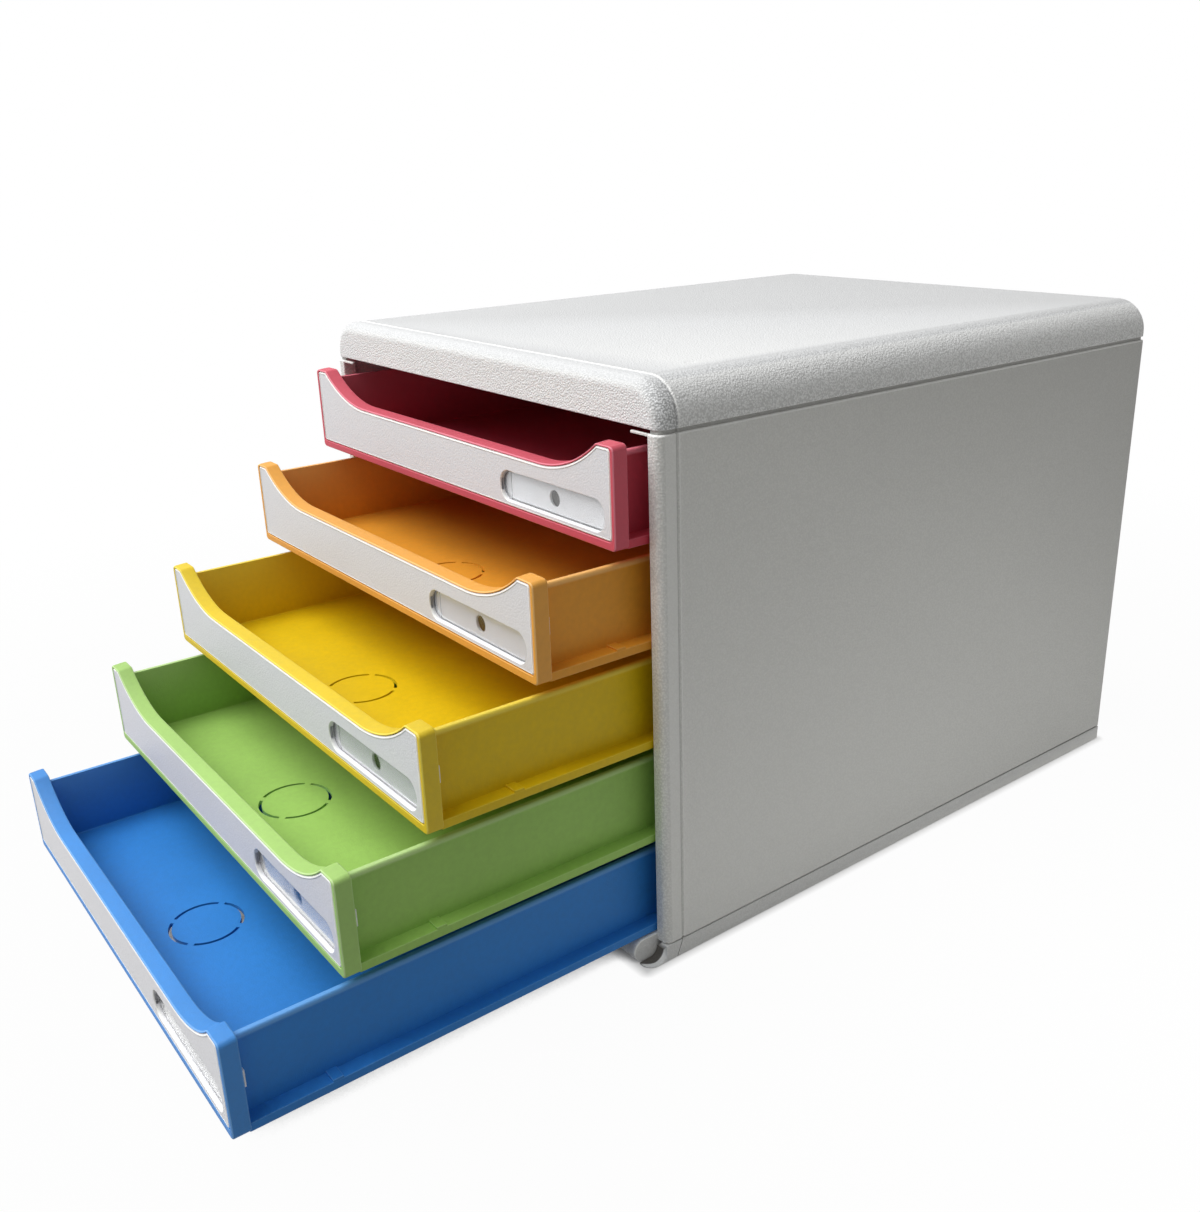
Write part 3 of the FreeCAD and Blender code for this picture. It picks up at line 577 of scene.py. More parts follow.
# Side panels: two walls in the same ABS with a fainter grain, each with its own front post, a
# shadow line at both seams and five sets of guides. They stand on the base, under the cover.

PANEL_HALF, PANEL_FRONT, PANEL_REAR, PANEL_SKIN = 137.5, -168.0, 168.0, 2.2
POST_INNER, POST_REAR, POST_RETURN, POST_WALL = 130.5, -161.0, 132.3, -165.6
POST_RADIUS, POST_EDGE, POST_HEM = 3.5, 0.6, 0.4
# Levels up the wall, each with how far the outer face is drawn in there and the light painted
# there, a highlight above zero and shade below
PANEL_LEVELS = (
    (8.0, 1.2, -0.6),
    (8.5, 1.2, -0.6),
    (8.55, 0.7, -0.3),
    (8.62, 0.25, 0.3),
    (8.9, 0.0, 0.1),
    (9.4, 0.0, 0.0),
    (235.4, 0.0, 0.0),
    (235.75, 0.04, 0.7),
    (236.1, 0.25, 1.0),
    (236.27, 0.55, 1.0),
    (236.3, 0.8, 0.0),
    (236.32, 0.9, -0.2),
    (236.33, 1.35, -0.3),
    (236.4, 1.4, -0.4),
    (238.0, 1.4, -0.4),
)
FOOT_LEVEL, HEAD_LEVEL = 9.0, 235.5  # where the wall's plain face starts and ends
# A thin tab stands in the seam under the cover, beside each post, with a highlight painted on its
# roundings
SEAM_TAB_INNER, SEAM_TAB_OUTER, SEAM_TAB_FRONT, SEAM_TAB_REAR = 119.9, 131.0, -167.9, -166.4
SEAM_TAB_BOTTOM, SEAM_TAB_TOP = 235.2, 236.3
GUIDE_PITCH, GUIDE_SETS, GUIDE_SOFT = 45.0, 5, 0.3
GUIDE_INNER, GUIDE_OUTER, GUIDE_REAR = 124.2, 135.4, 154.8
LEDGE_FRONT, LEDGE_BOTTOM, LEDGE_TOP = -159.5, 9.3, 11.7
KEEPER_FRONT, KEEPER_BOTTOM, KEEPER_TOP = -118.0, 16.4, 18.4
STOP_INNER, STOP_FRONT, STOP_REAR, STOP_BOTTOM, STOP_TOP = 130.2, -99.3, -95.3, 11.6, 15.3


def panel_plan(inset):
    """The right panel's plan, its outer face and its front drawn in by inset."""
    outer, front = PANEL_HALF - inset, PANEL_FRONT + inset
    radius = POST_RADIUS - inset
    points = arc(POST_INNER + POST_EDGE, front + POST_EDGE, POST_EDGE, 180, 270, 4)
    points += arc(outer - radius, front + radius, radius, -90, 0, 10)
    points += [(outer - deep, along) for along, deep, _ in LINE_STATIONS]
    points += arc(outer - POST_EDGE, PANEL_REAR - POST_EDGE, POST_EDGE, 0, 90, 4)
    inner = PANEL_HALF - PANEL_SKIN
    points += [(inner, PANEL_REAR), (inner, POST_WALL), (POST_RETURN, POST_WALL)]
    points += [(POST_RETURN, POST_REAR + POST_HEM), (POST_RETURN - POST_HEM, POST_REAR)]
    return points + arc(POST_INNER + POST_HEM, POST_REAR - POST_HEM, POST_HEM, 90, 180, 3)


def repeated_tree():
    """Geometry nodes that repeat a mesh in a row, a circle or both."""
    tree = bpy.data.node_groups.new("repeated", "GeometryNodeTree")
    for name, kind in (
        ("Geometry", "NodeSocketGeometry"),
        ("Count", "NodeSocketInt"),
        ("Step", "NodeSocketVector"),
        ("Turn", "NodeSocketFloat"),
        ("Material", "NodeSocketMaterial"),
    ):
        tree.interface.new_socket(name, in_out="INPUT", socket_type=kind)
    tree.interface.new_socket("Geometry", in_out="OUTPUT", socket_type="NodeSocketGeometry")
    given = add_node(tree, "NodeGroupInput").outputs
    row = add_node(
        tree, "GeometryNodeMeshLine", {"Count": given["Count"], "Offset": given["Step"]}
    )
    number = add_node(tree, "GeometryNodeInputIndex")
    turned = add_node(
        tree, "ShaderNodeMath", {0: number.outputs[0], 1: given["Turn"]}, operation="MULTIPLY"
    )
    about_z = add_node(tree, "ShaderNodeCombineXYZ", {"Z": turned.outputs[0]})
    spread = add_node(
        tree,
        "GeometryNodeInstanceOnPoints",
        {
            "Points": row.outputs[0],
            "Instance": given["Geometry"],
            "Rotation": about_z.outputs[0],
        },
    )
    solid = add_node(tree, "GeometryNodeRealizeInstances", {"Geometry": spread.outputs[0]})
    painted = add_node(
        tree,
        "GeometryNodeSetMaterial",
        {"Geometry": solid.outputs[0], "Material": given["Material"]},
    )
    add_node(tree, "NodeGroupOutput", {"Geometry": painted.outputs[0]})
    return tree


repeated_nodes = repeated_tree()


def repeated(mesh, count, step, turn, material):
    """The mesh repeated, step millimetres and turn degrees on each time."""
    thing = held(mesh)
    spread = thing.modifiers.new("repeated", "NODES")
    spread.node_group = repeated_nodes
    values = {
        "Count": count,
        "Step": [value * MM for value in step],
        "Turn": math.radians(turn),
        "Material": material,
    }
    for socket in repeated_nodes.interface.items_tree:
        if socket.in_out == "INPUT" and socket.name in values:
            spread[socket.identifier] = values[socket.name]
    result = as_mesh(thing)
    bpy.data.objects.remove(thing)
    return result


panel_abs = grained_abs("grained_abs_panels", "#E2E2DF", 0.95, 0.2, 0.52, (0.12, 0.4, 0.1))

for side, hand in (("right", 1), ("left", -1)):
    wall = shell(
        [[(hand * x, y, level) for x, y in panel_plan(inset)] for level, inset, _ in PANEL_LEVELS],
        [painted_light for _, _, painted_light in PANEL_LEVELS],
    )
    # Painted highlights on the band before the line and the post's inner edge, highlight and shade
    # painted across the line, and behind it a painted highlight on the foot and painted shade on
    # the rear
    upright = (FOOT_LEVEL, HEAD_LEVEL + 0.5)
    band = (PANEL_FRONT + 3.0, LINE_STATIONS[0][0] + 0.05)
    paint_light(wall, 0.4, (PANEL_HALF - 1.0, PANEL_HALF + 0.5), band, upright)
    edge_depth = (PANEL_FRONT - 0.1, PANEL_FRONT + 0.45)
    paint_light(wall, 0.8, (POST_INNER - 0.1, POST_INNER + 0.4), edge_depth, upright)
    for along, _, painted_light in LINE_STATIONS[2:-1]:
        across = (PANEL_HALF - 1.5, PANEL_HALF + 0.5)
        paint_light(wall, painted_light, across, (along - 0.02, along + 0.02), (FOOT_LEVEL, HEAD_LEVEL + 0.7))
    skin = (PANEL_HALF - POST_EDGE, PANEL_HALF + 0.5)
    paint_light(wall, 0.45, skin, (BEHIND_LINE, BEHIND_LINE + 1.0), (FOOT_LEVEL, FOOT_LEVEL + 0.5))
    paint_light(wall, -0.3, skin, (PANEL_REAR - 8.0, PANEL_REAR + 1.0), (FOOT_LEVEL + 0.5, HEAD_LEVEL))
    tab_sides = sorted((hand * SEAM_TAB_INNER, hand * SEAM_TAB_OUTER))
    tab_ends = (SEAM_TAB_FRONT, SEAM_TAB_REAR)
    tab = soft_block(*tab_sides, *tab_ends, SEAM_TAB_BOTTOM, SEAM_TAB_TOP, 0.3, 1.0)
    guide_parts = []
    for inner, front, rear, bottom, top in (
        (GUIDE_INNER, LEDGE_FRONT, GUIDE_REAR, LEDGE_BOTTOM, LEDGE_TOP),
        (GUIDE_INNER, KEEPER_FRONT, GUIDE_REAR, KEEPER_BOTTOM, KEEPER_TOP),
        (STOP_INNER, STOP_FRONT, STOP_REAR, STOP_BOTTOM, STOP_TOP),
    ):
        sides = sorted((hand * inner, hand * GUIDE_OUTER))
        guide_parts.append(soft_block(*sides, front, rear, bottom, top, GUIDE_SOFT))
    guides = repeated(joined(guide_parts), GUIDE_SETS, (0, 0, GUIDE_PITCH), 0, panel_abs)
    panel = moulding(f"{side}_side_panel_wall", [wall, tab, guides], panel_abs)
    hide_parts(f"{side}_side_panel")
    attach(panel, "casing")


# Base tray: floor, low side and rear strips and two thin toes that reach forward beside the ends
# of the rail, moulded in one in the casing's ABS. The panels stand on its strips.

BASE_HALF, STRIP_INNER, STRIP_TOP, STRIP_LEAN = 137.5, 135.3, 8.0, 3.2
FLOOR_SIDE, FLOOR_END, FLOOR_BOTTOM, FLOOR_LEVEL = 137.0, 167.6, 0.02, 2.2
REAR_STRIP_HALF, REAR_STRIP_FRONT, REAR_STRIP_REAR, REAR_STRIP_FOOT = 136.0, 165.8, 167.9, 0.5
TOE_FRONT, TOE_REAR, TOE_RADIUS, TOE_INNER, TOE_THICKNESS = -178.5, -165.6, 6.0, 133.4, 0.8
CRADLE_INNER = 130.8  # the toe reaches in beside the rail's end
COVE_MIDDLE, RAIL_LEVEL = -173.1, 5.9
COVE_RADIUS = RAIL_LEVEL - TOE_THICKNESS
# The strip's places along the casing: its inner side, how deep its outer side is drawn in, its
# top, how far its foot leans forward, and the light painted there, a highlight above zero and
# shade below
STRIP_PLACES = (
    (-168.0, TOE_INNER, 0.0, STRIP_TOP - 0.35, 0.0, 0.0),
    (-167.9, TOE_INNER, 0.0, STRIP_TOP - 0.1, 0.0, 0.0),
    (-167.6, TOE_INNER, 0.0, STRIP_TOP, 0.0, 0.0),
    (TOE_REAR, TOE_INNER, 0.0, STRIP_TOP, 0.0, 0.0),
    (TOE_REAR, STRIP_INNER, 0.0, STRIP_TOP, 0.0, 0.0),
    (-159.0, STRIP_INNER, 0.0, STRIP_TOP, STRIP_LEAN, 0.0),
    (-158.95, STRIP_INNER, 0.3, STRIP_TOP, STRIP_LEAN, -0.8),
    (-158.65, STRIP_INNER, 0.3, STRIP_TOP, STRIP_LEAN, -0.8),
    (-158.55, STRIP_INNER, 0.0, STRIP_TOP, STRIP_LEAN, 0.0),
    (168.0, STRIP_INNER, 0.0, STRIP_TOP, 0.0, 0.0),
)

base_abs = grained_abs("grained_abs_base", "#E6E7E4", 0.95, 0.15, 0.5, (0.12, 0.2, 0.1))


def strip_ring(hand, along, inner, outer, top, lean=0.0):
    """A cross-section of the side strip, its outer edges softened, its foot drawn forward."""
    soft = min(0.45, (outer - inner) * 0.45, top * 0.45)
    points = [(inner, 0.0)] + arc(outer - soft, soft, soft, -90, 0, 3)
    points += arc(outer - soft, top - soft, soft, 0, 90, 3) + [(inner, top)]
    return [(hand * x, along - lean * (1.0 - z / top), z) for x, z in points]


def toe_ring(hand, along, outer, top):
    """A cross-section of the toe: light and rounded outside, dark in the cove."""
    soft = min(0.3, top * 0.3)
    fall = min(2.6, (outer - CRADLE_INNER) * 0.6)
    rise = (top - soft) * 0.9
    points = [(CRADLE_INNER, 0.0)] + arc(outer - soft, soft, soft, -90, 0, 3)
    for angle in (0, 35, 75, 90):
        turned = math.radians(angle)
        beside, above = fall * math.cos(turned), rise * math.sin(turned)
        points.append((outer - fall + beside, top - rise + above))
    points.append((CRADLE_INNER, top))
    return [(hand * x, along, z) for x, z in points]


# The toe's points from its foot round to the cove: plain, a painted highlight at the brim, then
# painted shade in the cove
TOE_PAINTED_LIGHT = [0.0, 0.0, 0.0, 0.0, 0.0, 0.2, 0.5, 1.0, -1.0, -1.0]
floor_ends = (-FLOOR_END, FLOOR_END)
base_parts = [soft_block(-FLOOR_SIDE, FLOOR_SIDE, *floor_ends, FLOOR_BOTTOM, FLOOR_LEVEL, 0.3)]
toe_middle = TOE_FRONT + TOE_RADIUS
toe_tip = toe_middle - math.sqrt(TOE_RADIUS**2 - (TOE_INNER - BASE_HALF + TOE_RADIUS) ** 2)
toe_places = [toe_tip + 0.02 + k * 0.35 for k in range(16)]
toe_places += [COVE_MIDDLE + COVE_RADIUS * math.sin(math.radians(a)) for a in range(10, 86, 8)]
for hand in (-1, 1):
    rings, painted_light = [], []
    for along in toe_places:
        reach = max(0.0, TOE_RADIUS**2 - min(along - toe_middle, 0.0) ** 2)
        outer = BASE_HALF - TOE_RADIUS + math.sqrt(reach)
        behind = min(max(along - COVE_MIDDLE, 0.0), COVE_RADIUS)
        top = RAIL_LEVEL - math.sqrt(COVE_RADIUS**2 - behind**2)
        rings.append(toe_ring(hand, along, outer, top))
        painted_light.append(TOE_PAINTED_LIGHT)
    for along, inner, deep, top, lean, painted_strip_light in STRIP_PLACES:
        rings.append(strip_ring(hand, along, inner, BASE_HALF - deep, top, lean))
        painted_light.append(painted_strip_light)
    strip = shell(rings, painted_light)
    # Behind the line the strip's foot gets a painted highlight and its top painted shade, where
    # the panel shades it
    face = (BASE_HALF - 0.7, BASE_HALF + 0.1)
    paint_light(strip, 1.0, face, (STRIP_PLACES[-2][0], 170.0), (-0.1, 0.5))
    paint_light(strip, -0.4, face, (BEHIND_LINE, 170.0), (STRIP_TOP - 0.3, STRIP_TOP + 0.1))
    base_parts.append(strip)
rear_ends = (REAR_STRIP_FRONT, REAR_STRIP_REAR)
base_parts.append(
    soft_block(-REAR_STRIP_HALF, REAR_STRIP_HALF, *rear_ends, REAR_STRIP_FOOT, STRIP_TOP, 0.3)
)
base_tray = moulding("base_tray_floor", base_parts, base_abs)
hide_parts("base_tray")
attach(base_tray, "casing")


# Bottom rail: a bullnose in the casing's ABS that finishes the lower front edge between the
# posts. It is hooked over the base's front edge.

RAIL_RADIUS, RAIL_END, RAIL_MIDDLE = 5.5, 130.5, -175.2
HOOK_FRONT, HOOK_REAR, HOOK_LEVEL, HOOK_RADIUS = -168.0, -160.0, 2.22, 0.6
# Places in from the rail's end, each with how far the section is drawn in and the highlight
# painted there
RAIL_ENDING = ((0.0, 0.6, 0.0), (0.06, 0.38, 0.9), (0.25, 0.12, 0.9), (0.6, 0.0, 0.0))


def rail_section(inset):
    """The rail's cross-section, seen along the width, drawn in by inset."""
    top, bottom = RAIL_LEVEL + RAIL_RADIUS - inset, RAIL_LEVEL - RAIL_RADIUS + inset
    nose = arc(RAIL_MIDDLE, RAIL_LEVEL, RAIL_RADIUS - inset, 90, 270, 20)
    rear, under = HOOK_REAR - inset, HOOK_LEVEL + inset
    hook = [(HOOK_FRONT, bottom), (HOOK_FRONT, under), (rear, under)]
    return nose + hook + arc(rear - HOOK_RADIUS, top - HOOK_RADIUS, HOOK_RADIUS, 0, 90, 3)


rail_places = [(step - RAIL_END, inset, painted_light) for step, inset, painted_light in RAIL_ENDING]
rail_places += [(RAIL_END - step, inset, painted_light) for step, inset, painted_light in reversed(RAIL_ENDING)]
rail_rings = [[(place, y, z) for y, z in rail_section(inset)] for place, inset, _ in rail_places]
rail_shell = shell(rail_rings, [painted_light for _, _, painted_light in rail_places])
rail = moulding("bottom_front_rail_bead", [rail_shell], base_abs)
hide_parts("bottom_front_rail")
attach(rail, "casing")


# Back panel: a plain flat wall in the casing's ABS, slid between the side panels, with two
# upright ribs inside that stop the closed trays.

BACK_HALF, BACK_FRONT, BACK_REAR, BACK_BOTTOM, BACK_TOP = 135.3, 165.8, 168.0, 8.0, 238.0
RIB_MIDDLE, RIB_HALF, RIB_FRONT = 60.0, 1.2, 158.0

back_levels = (BACK_BOTTOM, BACK_TOP, 0.4)
back_parts = [soft_block(-BACK_HALF, BACK_HALF, BACK_FRONT, BACK_REAR, *back_levels, 0.5)]
for middle in (-RIB_MIDDLE, RIB_MIDDLE):
    rib_sides = (middle - RIB_HALF, middle + RIB_HALF)
    back_parts.append(soft_block(*rib_sides, RIB_FRONT, BACK_FRONT + 0.1, *back_levels))
back_panel = moulding("back_panel_wall", back_parts, panel_abs)
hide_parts("back_panel")
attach(back_panel, "casing")


# Trays: five open letter trays in coloured polystyrene, each moulded in one, with a front frame
# that dips in the middle, turned-out rims and a runner along each side. They slide on the guides.

FRONT_HALF, FRONT_HEIGHT, FRONT_DIP, CROWN_LEVEL = 130.0, 42.0, 14.6, 34.0
FRAME_FOOT_RADIUS, FRAME_TOP_RADIUS = 1.25, 2.2
SEAT_HALF, SEAT_BOTTOM, SEAT_TOP, SEAT_TOP_RADIUS = 127.85, 3.65, 40.75, 1.6
SWEEP_RADIUS, CREST_RADIUS, CREST_PLACE = 66.0, 1.6, 120.0
CLIP_SLOT = (126.0, 127.8, 4.0, 9.0, 18.3, 26.7)  # its sides, its depths and its levels
PUSH_MIDDLE, PUSH_RADIUS, PUSH_DEPTHS = (86.05, 12.5), 4.2, (4.9, 5.06)
TRAY_HALF, TRAY_FRONT, TRAY_LENGTH, TRAY_WALL, TRAY_REAR_RADIUS = 122.7, 6.4, 325.0, 2.0, 4.0
RIM_TOP, FLOOR_TOP, FLOOR_UNDER = 37.6, 4.5, 2.5
FLOOR_HALF, FLOOR_REAR = 121.6, 323.4
RING_PLACE, RING_RADIUS, RING_SLOT, RING_BRIDGE = 38.5, 15.0, 1.5, 3.0
# On each side a runner, a small catch raised on it, and a lug at its rear end that meets the
# guide's stop when the tray is fully out: the inner and outer side, the front and rear, the top,
# the rounding and the highlight painted on it
SIDE_BARS = (
    (120.7, 129.4, TRAY_FRONT, TRAY_LENGTH, 3.8, 0.5, 0.25),
    (122.0, 129.3, 39.0, 43.5, 4.7, 0.4, 0.3),
    (122.0, 133.0, 318.0, 322.0, 3.8, 0.4, 0.3),
)
# Each tray's colour and the paler colour painted on its edges as a highlight
TRAY_COLOURS = {
    1: ("pink", "#C94153", "#EE98A8"),
    2: ("orange", "#E89F30", "#FAD090"),
    3: ("yellow", "#E6C404", "#FAEA70"),
    4: ("green", "#A2CE68", "#D0E8B0"),
    5: ("blue", "#3085D8", "#86BCF0"),
}


def moulded_polystyrene(name, colour, highlight_colour):
    """Coloured high-impact polystyrene, injection moulded in a spark-eroded tool: a matt, faintly
    mottled skin with soft highlights, painted highlights on its edges and painted shade where the
    edge value is below zero."""
    material, tree = new_material(name)
    place = add_node(tree, "ShaderNodeTexCoord").outputs["Object"]
    # The real sparks are 0.05 mm apart; drawn at 0.7 mm so that they show
    sparks = add_node(
        tree, "ShaderNodeTexNoise", {"Vector": place, "Scale": 1400.0, "Detail": 3.0}
    )
    peel = add_node(tree, "ShaderNodeTexNoise", {"Vector": place, "Scale": 380.0, "Detail": 3.0})
    height = add_node(
        tree,
        "ShaderNodeMath",
        {0: peel.outputs["Fac"], 1: 0.8, 2: sparks.outputs["Fac"]},
        operation="MULTIPLY_ADD",
    )
    bump = add_node(
        tree,
        "ShaderNodeBump",
        {"Strength": 0.6, "Distance": 0.12 * MM, "Height": height.outputs[0]},
    )
    flow = add_node(tree, "ShaderNodeTexNoise", {"Vector": place, "Scale": 11.0, "Detail": 3.0})
    mottle = add_node(
        tree,
        "ShaderNodeMath",
        {0: peel.outputs["Fac"], 1: 0.5, 2: flow.outputs["Fac"]},
        operation="MULTIPLY_ADD",
    )
    tone = add_node(tree, "ShaderNodeMapRange", {"Value": mottle.outputs[0], 1: 0.45, 2: 1.05})
    body = add_node(
        tree,
        "ShaderNodeMix",
        {0: tone.outputs[0], 6: toned(colour, 0.82), 7: toned(colour, 1.04)},
        data_type="RGBA",
    )
    gloss = add_node(
        tree, "ShaderNodeMapRange", {"Value": peel.outputs["Fac"], 3: 0.46, 4: 0.6}
    )
    surface = add_node(
        tree,
        "ShaderNodeBsdfPrincipled",
        {
            "Base Color": painted_light_colour(tree, body.outputs[2], highlight_colour, "#1E1917"),
            "Roughness": gloss.outputs[0],
            "IOR": 1.55,
            "Specular IOR Level": 0.3,
            "Normal": bump.outputs[0],
        },
    )
    add_node(tree, "ShaderNodeOutputMaterial", {"Surface": surface.outputs[0]})
    return material


def front_outline(half, bottom, top, grow, corner):
    """A tray front's outline: level in the middle, swept up to both ends."""
    sweep, crest = SWEEP_RADIUS - grow, CREST_RADIUS + grow
    both = sweep + crest
    reach = math.sqrt(both**2 - (both - FRONT_DIP) ** 2)
    level = CREST_PLACE - reach
    slope = math.degrees(math.atan2(FRONT_DIP - both, reach))
    right = arc(half - corner, bottom + corner, corner, -90, 0, 5)
    right += arc(half - corner, top - corner, corner, 0, 90, 5)
    right += arc(CREST_PLACE, top - crest, crest, 90, 180 + slope, 5)
    right += arc(level, top - FRONT_DIP + sweep, sweep, slope, -90, 26)[1:]
    return right + [(-across, up) for across, up in reversed(right)]


def frame_outline(inset):
    """The front frame's own outline, drawn in."""
    size = (FRONT_HALF - inset, inset, FRONT_HEIGHT - inset)
    return front_outline(*size, FRAME_FOOT_RADIUS - inset, FRAME_TOP_RADIUS - inset)


def plate_outline(inset):
    """The face plate's outline, drawn in."""
    size = (SEAT_HALF - inset, SEAT_BOTTOM + inset, SEAT_TOP - inset)
    return front_outline(*size, -inset, SEAT_TOP_RADIUS - inset)


def standing(outline, back, crown=0.0):
    """An outline stood up at a distance behind the front's face, its top lowered by crown."""
    return [(x, back, z * (1.0 - crown / CROWN_LEVEL)) for x, z in outline]


# The frame's back face, its faintly crowned top, its front edge and the seat of its plate: the
# depth, the outline, how far the top is lowered and the highlight painted there
FRAME_RINGS = (
    (7.25, frame_outline(0.7), 0.0, 0.0),
    (7.14, frame_outline(0.35), 0.0, 0.35),
    (6.9, frame_outline(0.1), 0.0, 0.35),
    (6.5, frame_outline(0.0), 0.0, 0.15),
    (3.9, frame_outline(0.0), 0.1, 0.15),
    (3.6, frame_outline(0.0), 0.14, 0.15),
    (0.6, frame_outline(0.0), 0.35, 0.15),
    (0.45, frame_outline(0.04), 0.35, 0.6),
    (0.1, frame_outline(0.38), 0.35, 0.6),
    (0.0, frame_outline(0.6), 0.35, 0.1),
    (0.0, plate_outline(-0.5), 0.0, 0.1),
    (0.07, plate_outline(-0.3), 0.0, 0.5),
    (0.28, plate_outline(-0.15), 0.0, 0.0),
    (2.0, plate_outline(-0.15), 0.0, 0.0),
    (2.0, plate_outline(1.0), 0.0, 0.0),
    (5.05, plate_outline(1.0), 0.0, 0.0),
)
frame_block = shell(
    [standing(outline, back, crown) for back, outline, crown, _ in FRAME_RINGS],
    [painted_light for _, _, _, painted_light in FRAME_RINGS],
)
clip_slots = [
    soft_block(*sorted((hand * CLIP_SLOT[0], hand * CLIP_SLOT[1])), *CLIP_SLOT[2:], 0.1)
    for hand in (-1, 1)
]
front_frame = cut(frame_block, *clip_slots)
# A dark disc behind the plate's push-out hole is painted shade, for the hole's dark depth
push_outline = arc(*PUSH_MIDDLE, PUSH_RADIUS, 0, 345, 23)
push_shade_disc = shell([[(x, back, z) for x, z in push_outline] for back in PUSH_DEPTHS], [-1.0, -1.0])

# Walls and rim: one section carried back along one side, across the rear and forward again. It
# is drawn from the fillet at the floor up the inside, over the rim and down the outside
FLOOR_FILLET = 0.7
wall_section = arc(-TRAY_WALL - FLOOR_FILLET, FLOOR_TOP + FLOOR_FILLET, FLOOR_FILLET, -88, 0, 4)
wall_section += [
    (across, RIM_TOP - down)
    for across, down in (
        (-TRAY_WALL, 0.5),
        (-1.88, 0.12),
        (-1.5, 0.0),
        (-0.2, 0.0),
        (0.25, 0.25),
        (0.55, 0.8),
        (0.7, 1.5),
        (0.7, 2.3),
        (0.55, 2.6),
        (0.1, 2.7),
        (0.0, 2.9),
    )
]
wall_section += [
    (across, FLOOR_UNDER + above)
    for across, above in ((0.0, 0.5), (-0.15, 0.15), (-0.5, 0.0), (-4.0, 0.0))
]


def corner_ring(angle):
    """The wall's section at an angle, in radians, round the tray's rear corner."""
    ring = []
    for outward, level in wall_section:
        radius = TRAY_REAR_RADIUS + outward
        x = TRAY_HALF - TRAY_REAR_RADIUS + radius * math.cos(angle)
        y = TRAY_LENGTH - TRAY_REAR_RADIUS + radius * math.sin(angle)
        ring.append((x, y, level))
    return ring


way = [[(TRAY_HALF + outward, TRAY_FRONT, level) for outward, level in wall_section]]
way += [corner_ring(math.radians(angle)) for angle in range(0, 91, 10)]
way += [[(-x, y, z) for x, y, z in ring] for ring in reversed(way)]
tray_walls = shell(way)
# A highlight is painted along the rim
paint_light(tray_walls, 0.45, up=(RIM_TOP - 1.6, RIM_TOP + 0.4))

# Ring in the floor that can be pushed out: four slots kept apart by bridges on the diagonals
slot_half = RING_BRIDGE / 2
inner_open = 45 - math.degrees(math.asin(slot_half / RING_RADIUS))
outer_open = 45 - math.degrees(math.asin(slot_half / (RING_RADIUS + RING_SLOT)))
slot_plan = arc(0, 0, RING_RADIUS + RING_SLOT, -outer_open, outer_open, 20)
slot_plan += arc(0, 0, RING_RADIUS, inner_open, -inner_open, 20)
slot_tool = shell([[(x, y, level) for x, y in slot_plan] for level in (0.0, 8.0)])
slot_tools = repeated(slot_tool, 4, (0, 0, 0), 90, None)
slot_tools.transform(Matrix.Translation((0, RING_PLACE * MM, 0)))
floor_levels = (FLOOR_UNDER + 0.02, FLOOR_TOP)
floor_block = soft_block(-FLOOR_HALF, FLOOR_HALF, TRAY_FRONT, FLOOR_REAR, *floor_levels, 0.2)

tray_parts = [front_frame, push_shade_disc, tray_walls, cut(floor_block, slot_tools)]
for hand in (-1, 1):
    for inner, outer, front, rear, top, soft, painted_light in SIDE_BARS:
        sides = sorted((hand * inner, hand * outer))
        tray_parts.append(soft_block(*sides, front, rear, 0.0, top, soft, painted_light))
tray_mesh = joined(tray_parts)

for number, (colour_name, colour, highlight_colour) in TRAY_COLOURS.items():
    polystyrene = moulded_polystyrene(f"moulded_polystyrene_{colour_name}", colour, highlight_colour)
    low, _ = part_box(f"drawer_{number}_face_plate")
    stand = (0.0, low.y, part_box(f"drawer_{number}_tray")[0].z)
    tray = moulding(f"drawer_{number}_tray_{colour_name}", [tray_mesh], polystyrene, stand)
    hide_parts(f"drawer_{number}_tray")
    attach(tray, f"drawer_{number}")


# Face plates: light grey polystyrene plates let into the trays' fronts, each with a thin raised
# border, a rounded cup for a label and a springy clip at each end that snaps through the tray.

LABEL_LEFT, LABEL_RIGHT, LABEL_BOTTOM, LABEL_TOP, LABEL_RADIUS = 48.9, 123.2, 5.8, 19.2, 6.2
LABEL_MIDDLE = ((LABEL_LEFT + LABEL_RIGHT) / 2, (LABEL_BOTTOM + LABEL_TOP) / 2)
LABEL_HALF_HEIGHT = (LABEL_TOP - LABEL_BOTTOM) / 2
HOLE_RADIUS, HOLE_BEVEL, CUP_SHADE = 3.5, 0.2, -0.22
NAIL_SLOT = (47.4, 50.4, 0.7, 1.9, 9.5, 15.0)  # where a fingernail lifts the window out
# The clip, seen from above: a blade that ends in a small outward hook
CLIP_PLAN = (
    (126.2, 1.9),
    (127.6, 1.9),
    (127.6, 7.4),
    (128.4, 7.45),
    (128.4, 8.0),
    (128.2, 8.2),
    (126.2, 8.2),
)
CLIP_LEVELS = (19.0, 19.2, 25.8, 26.0)
# Points on the label's straight edges, at even angles about its middle for the round hole there
LABEL_RUN = [LABEL_HALF_HEIGHT * math.tan(math.radians(a)) for a in range(-75, 76, 6)]


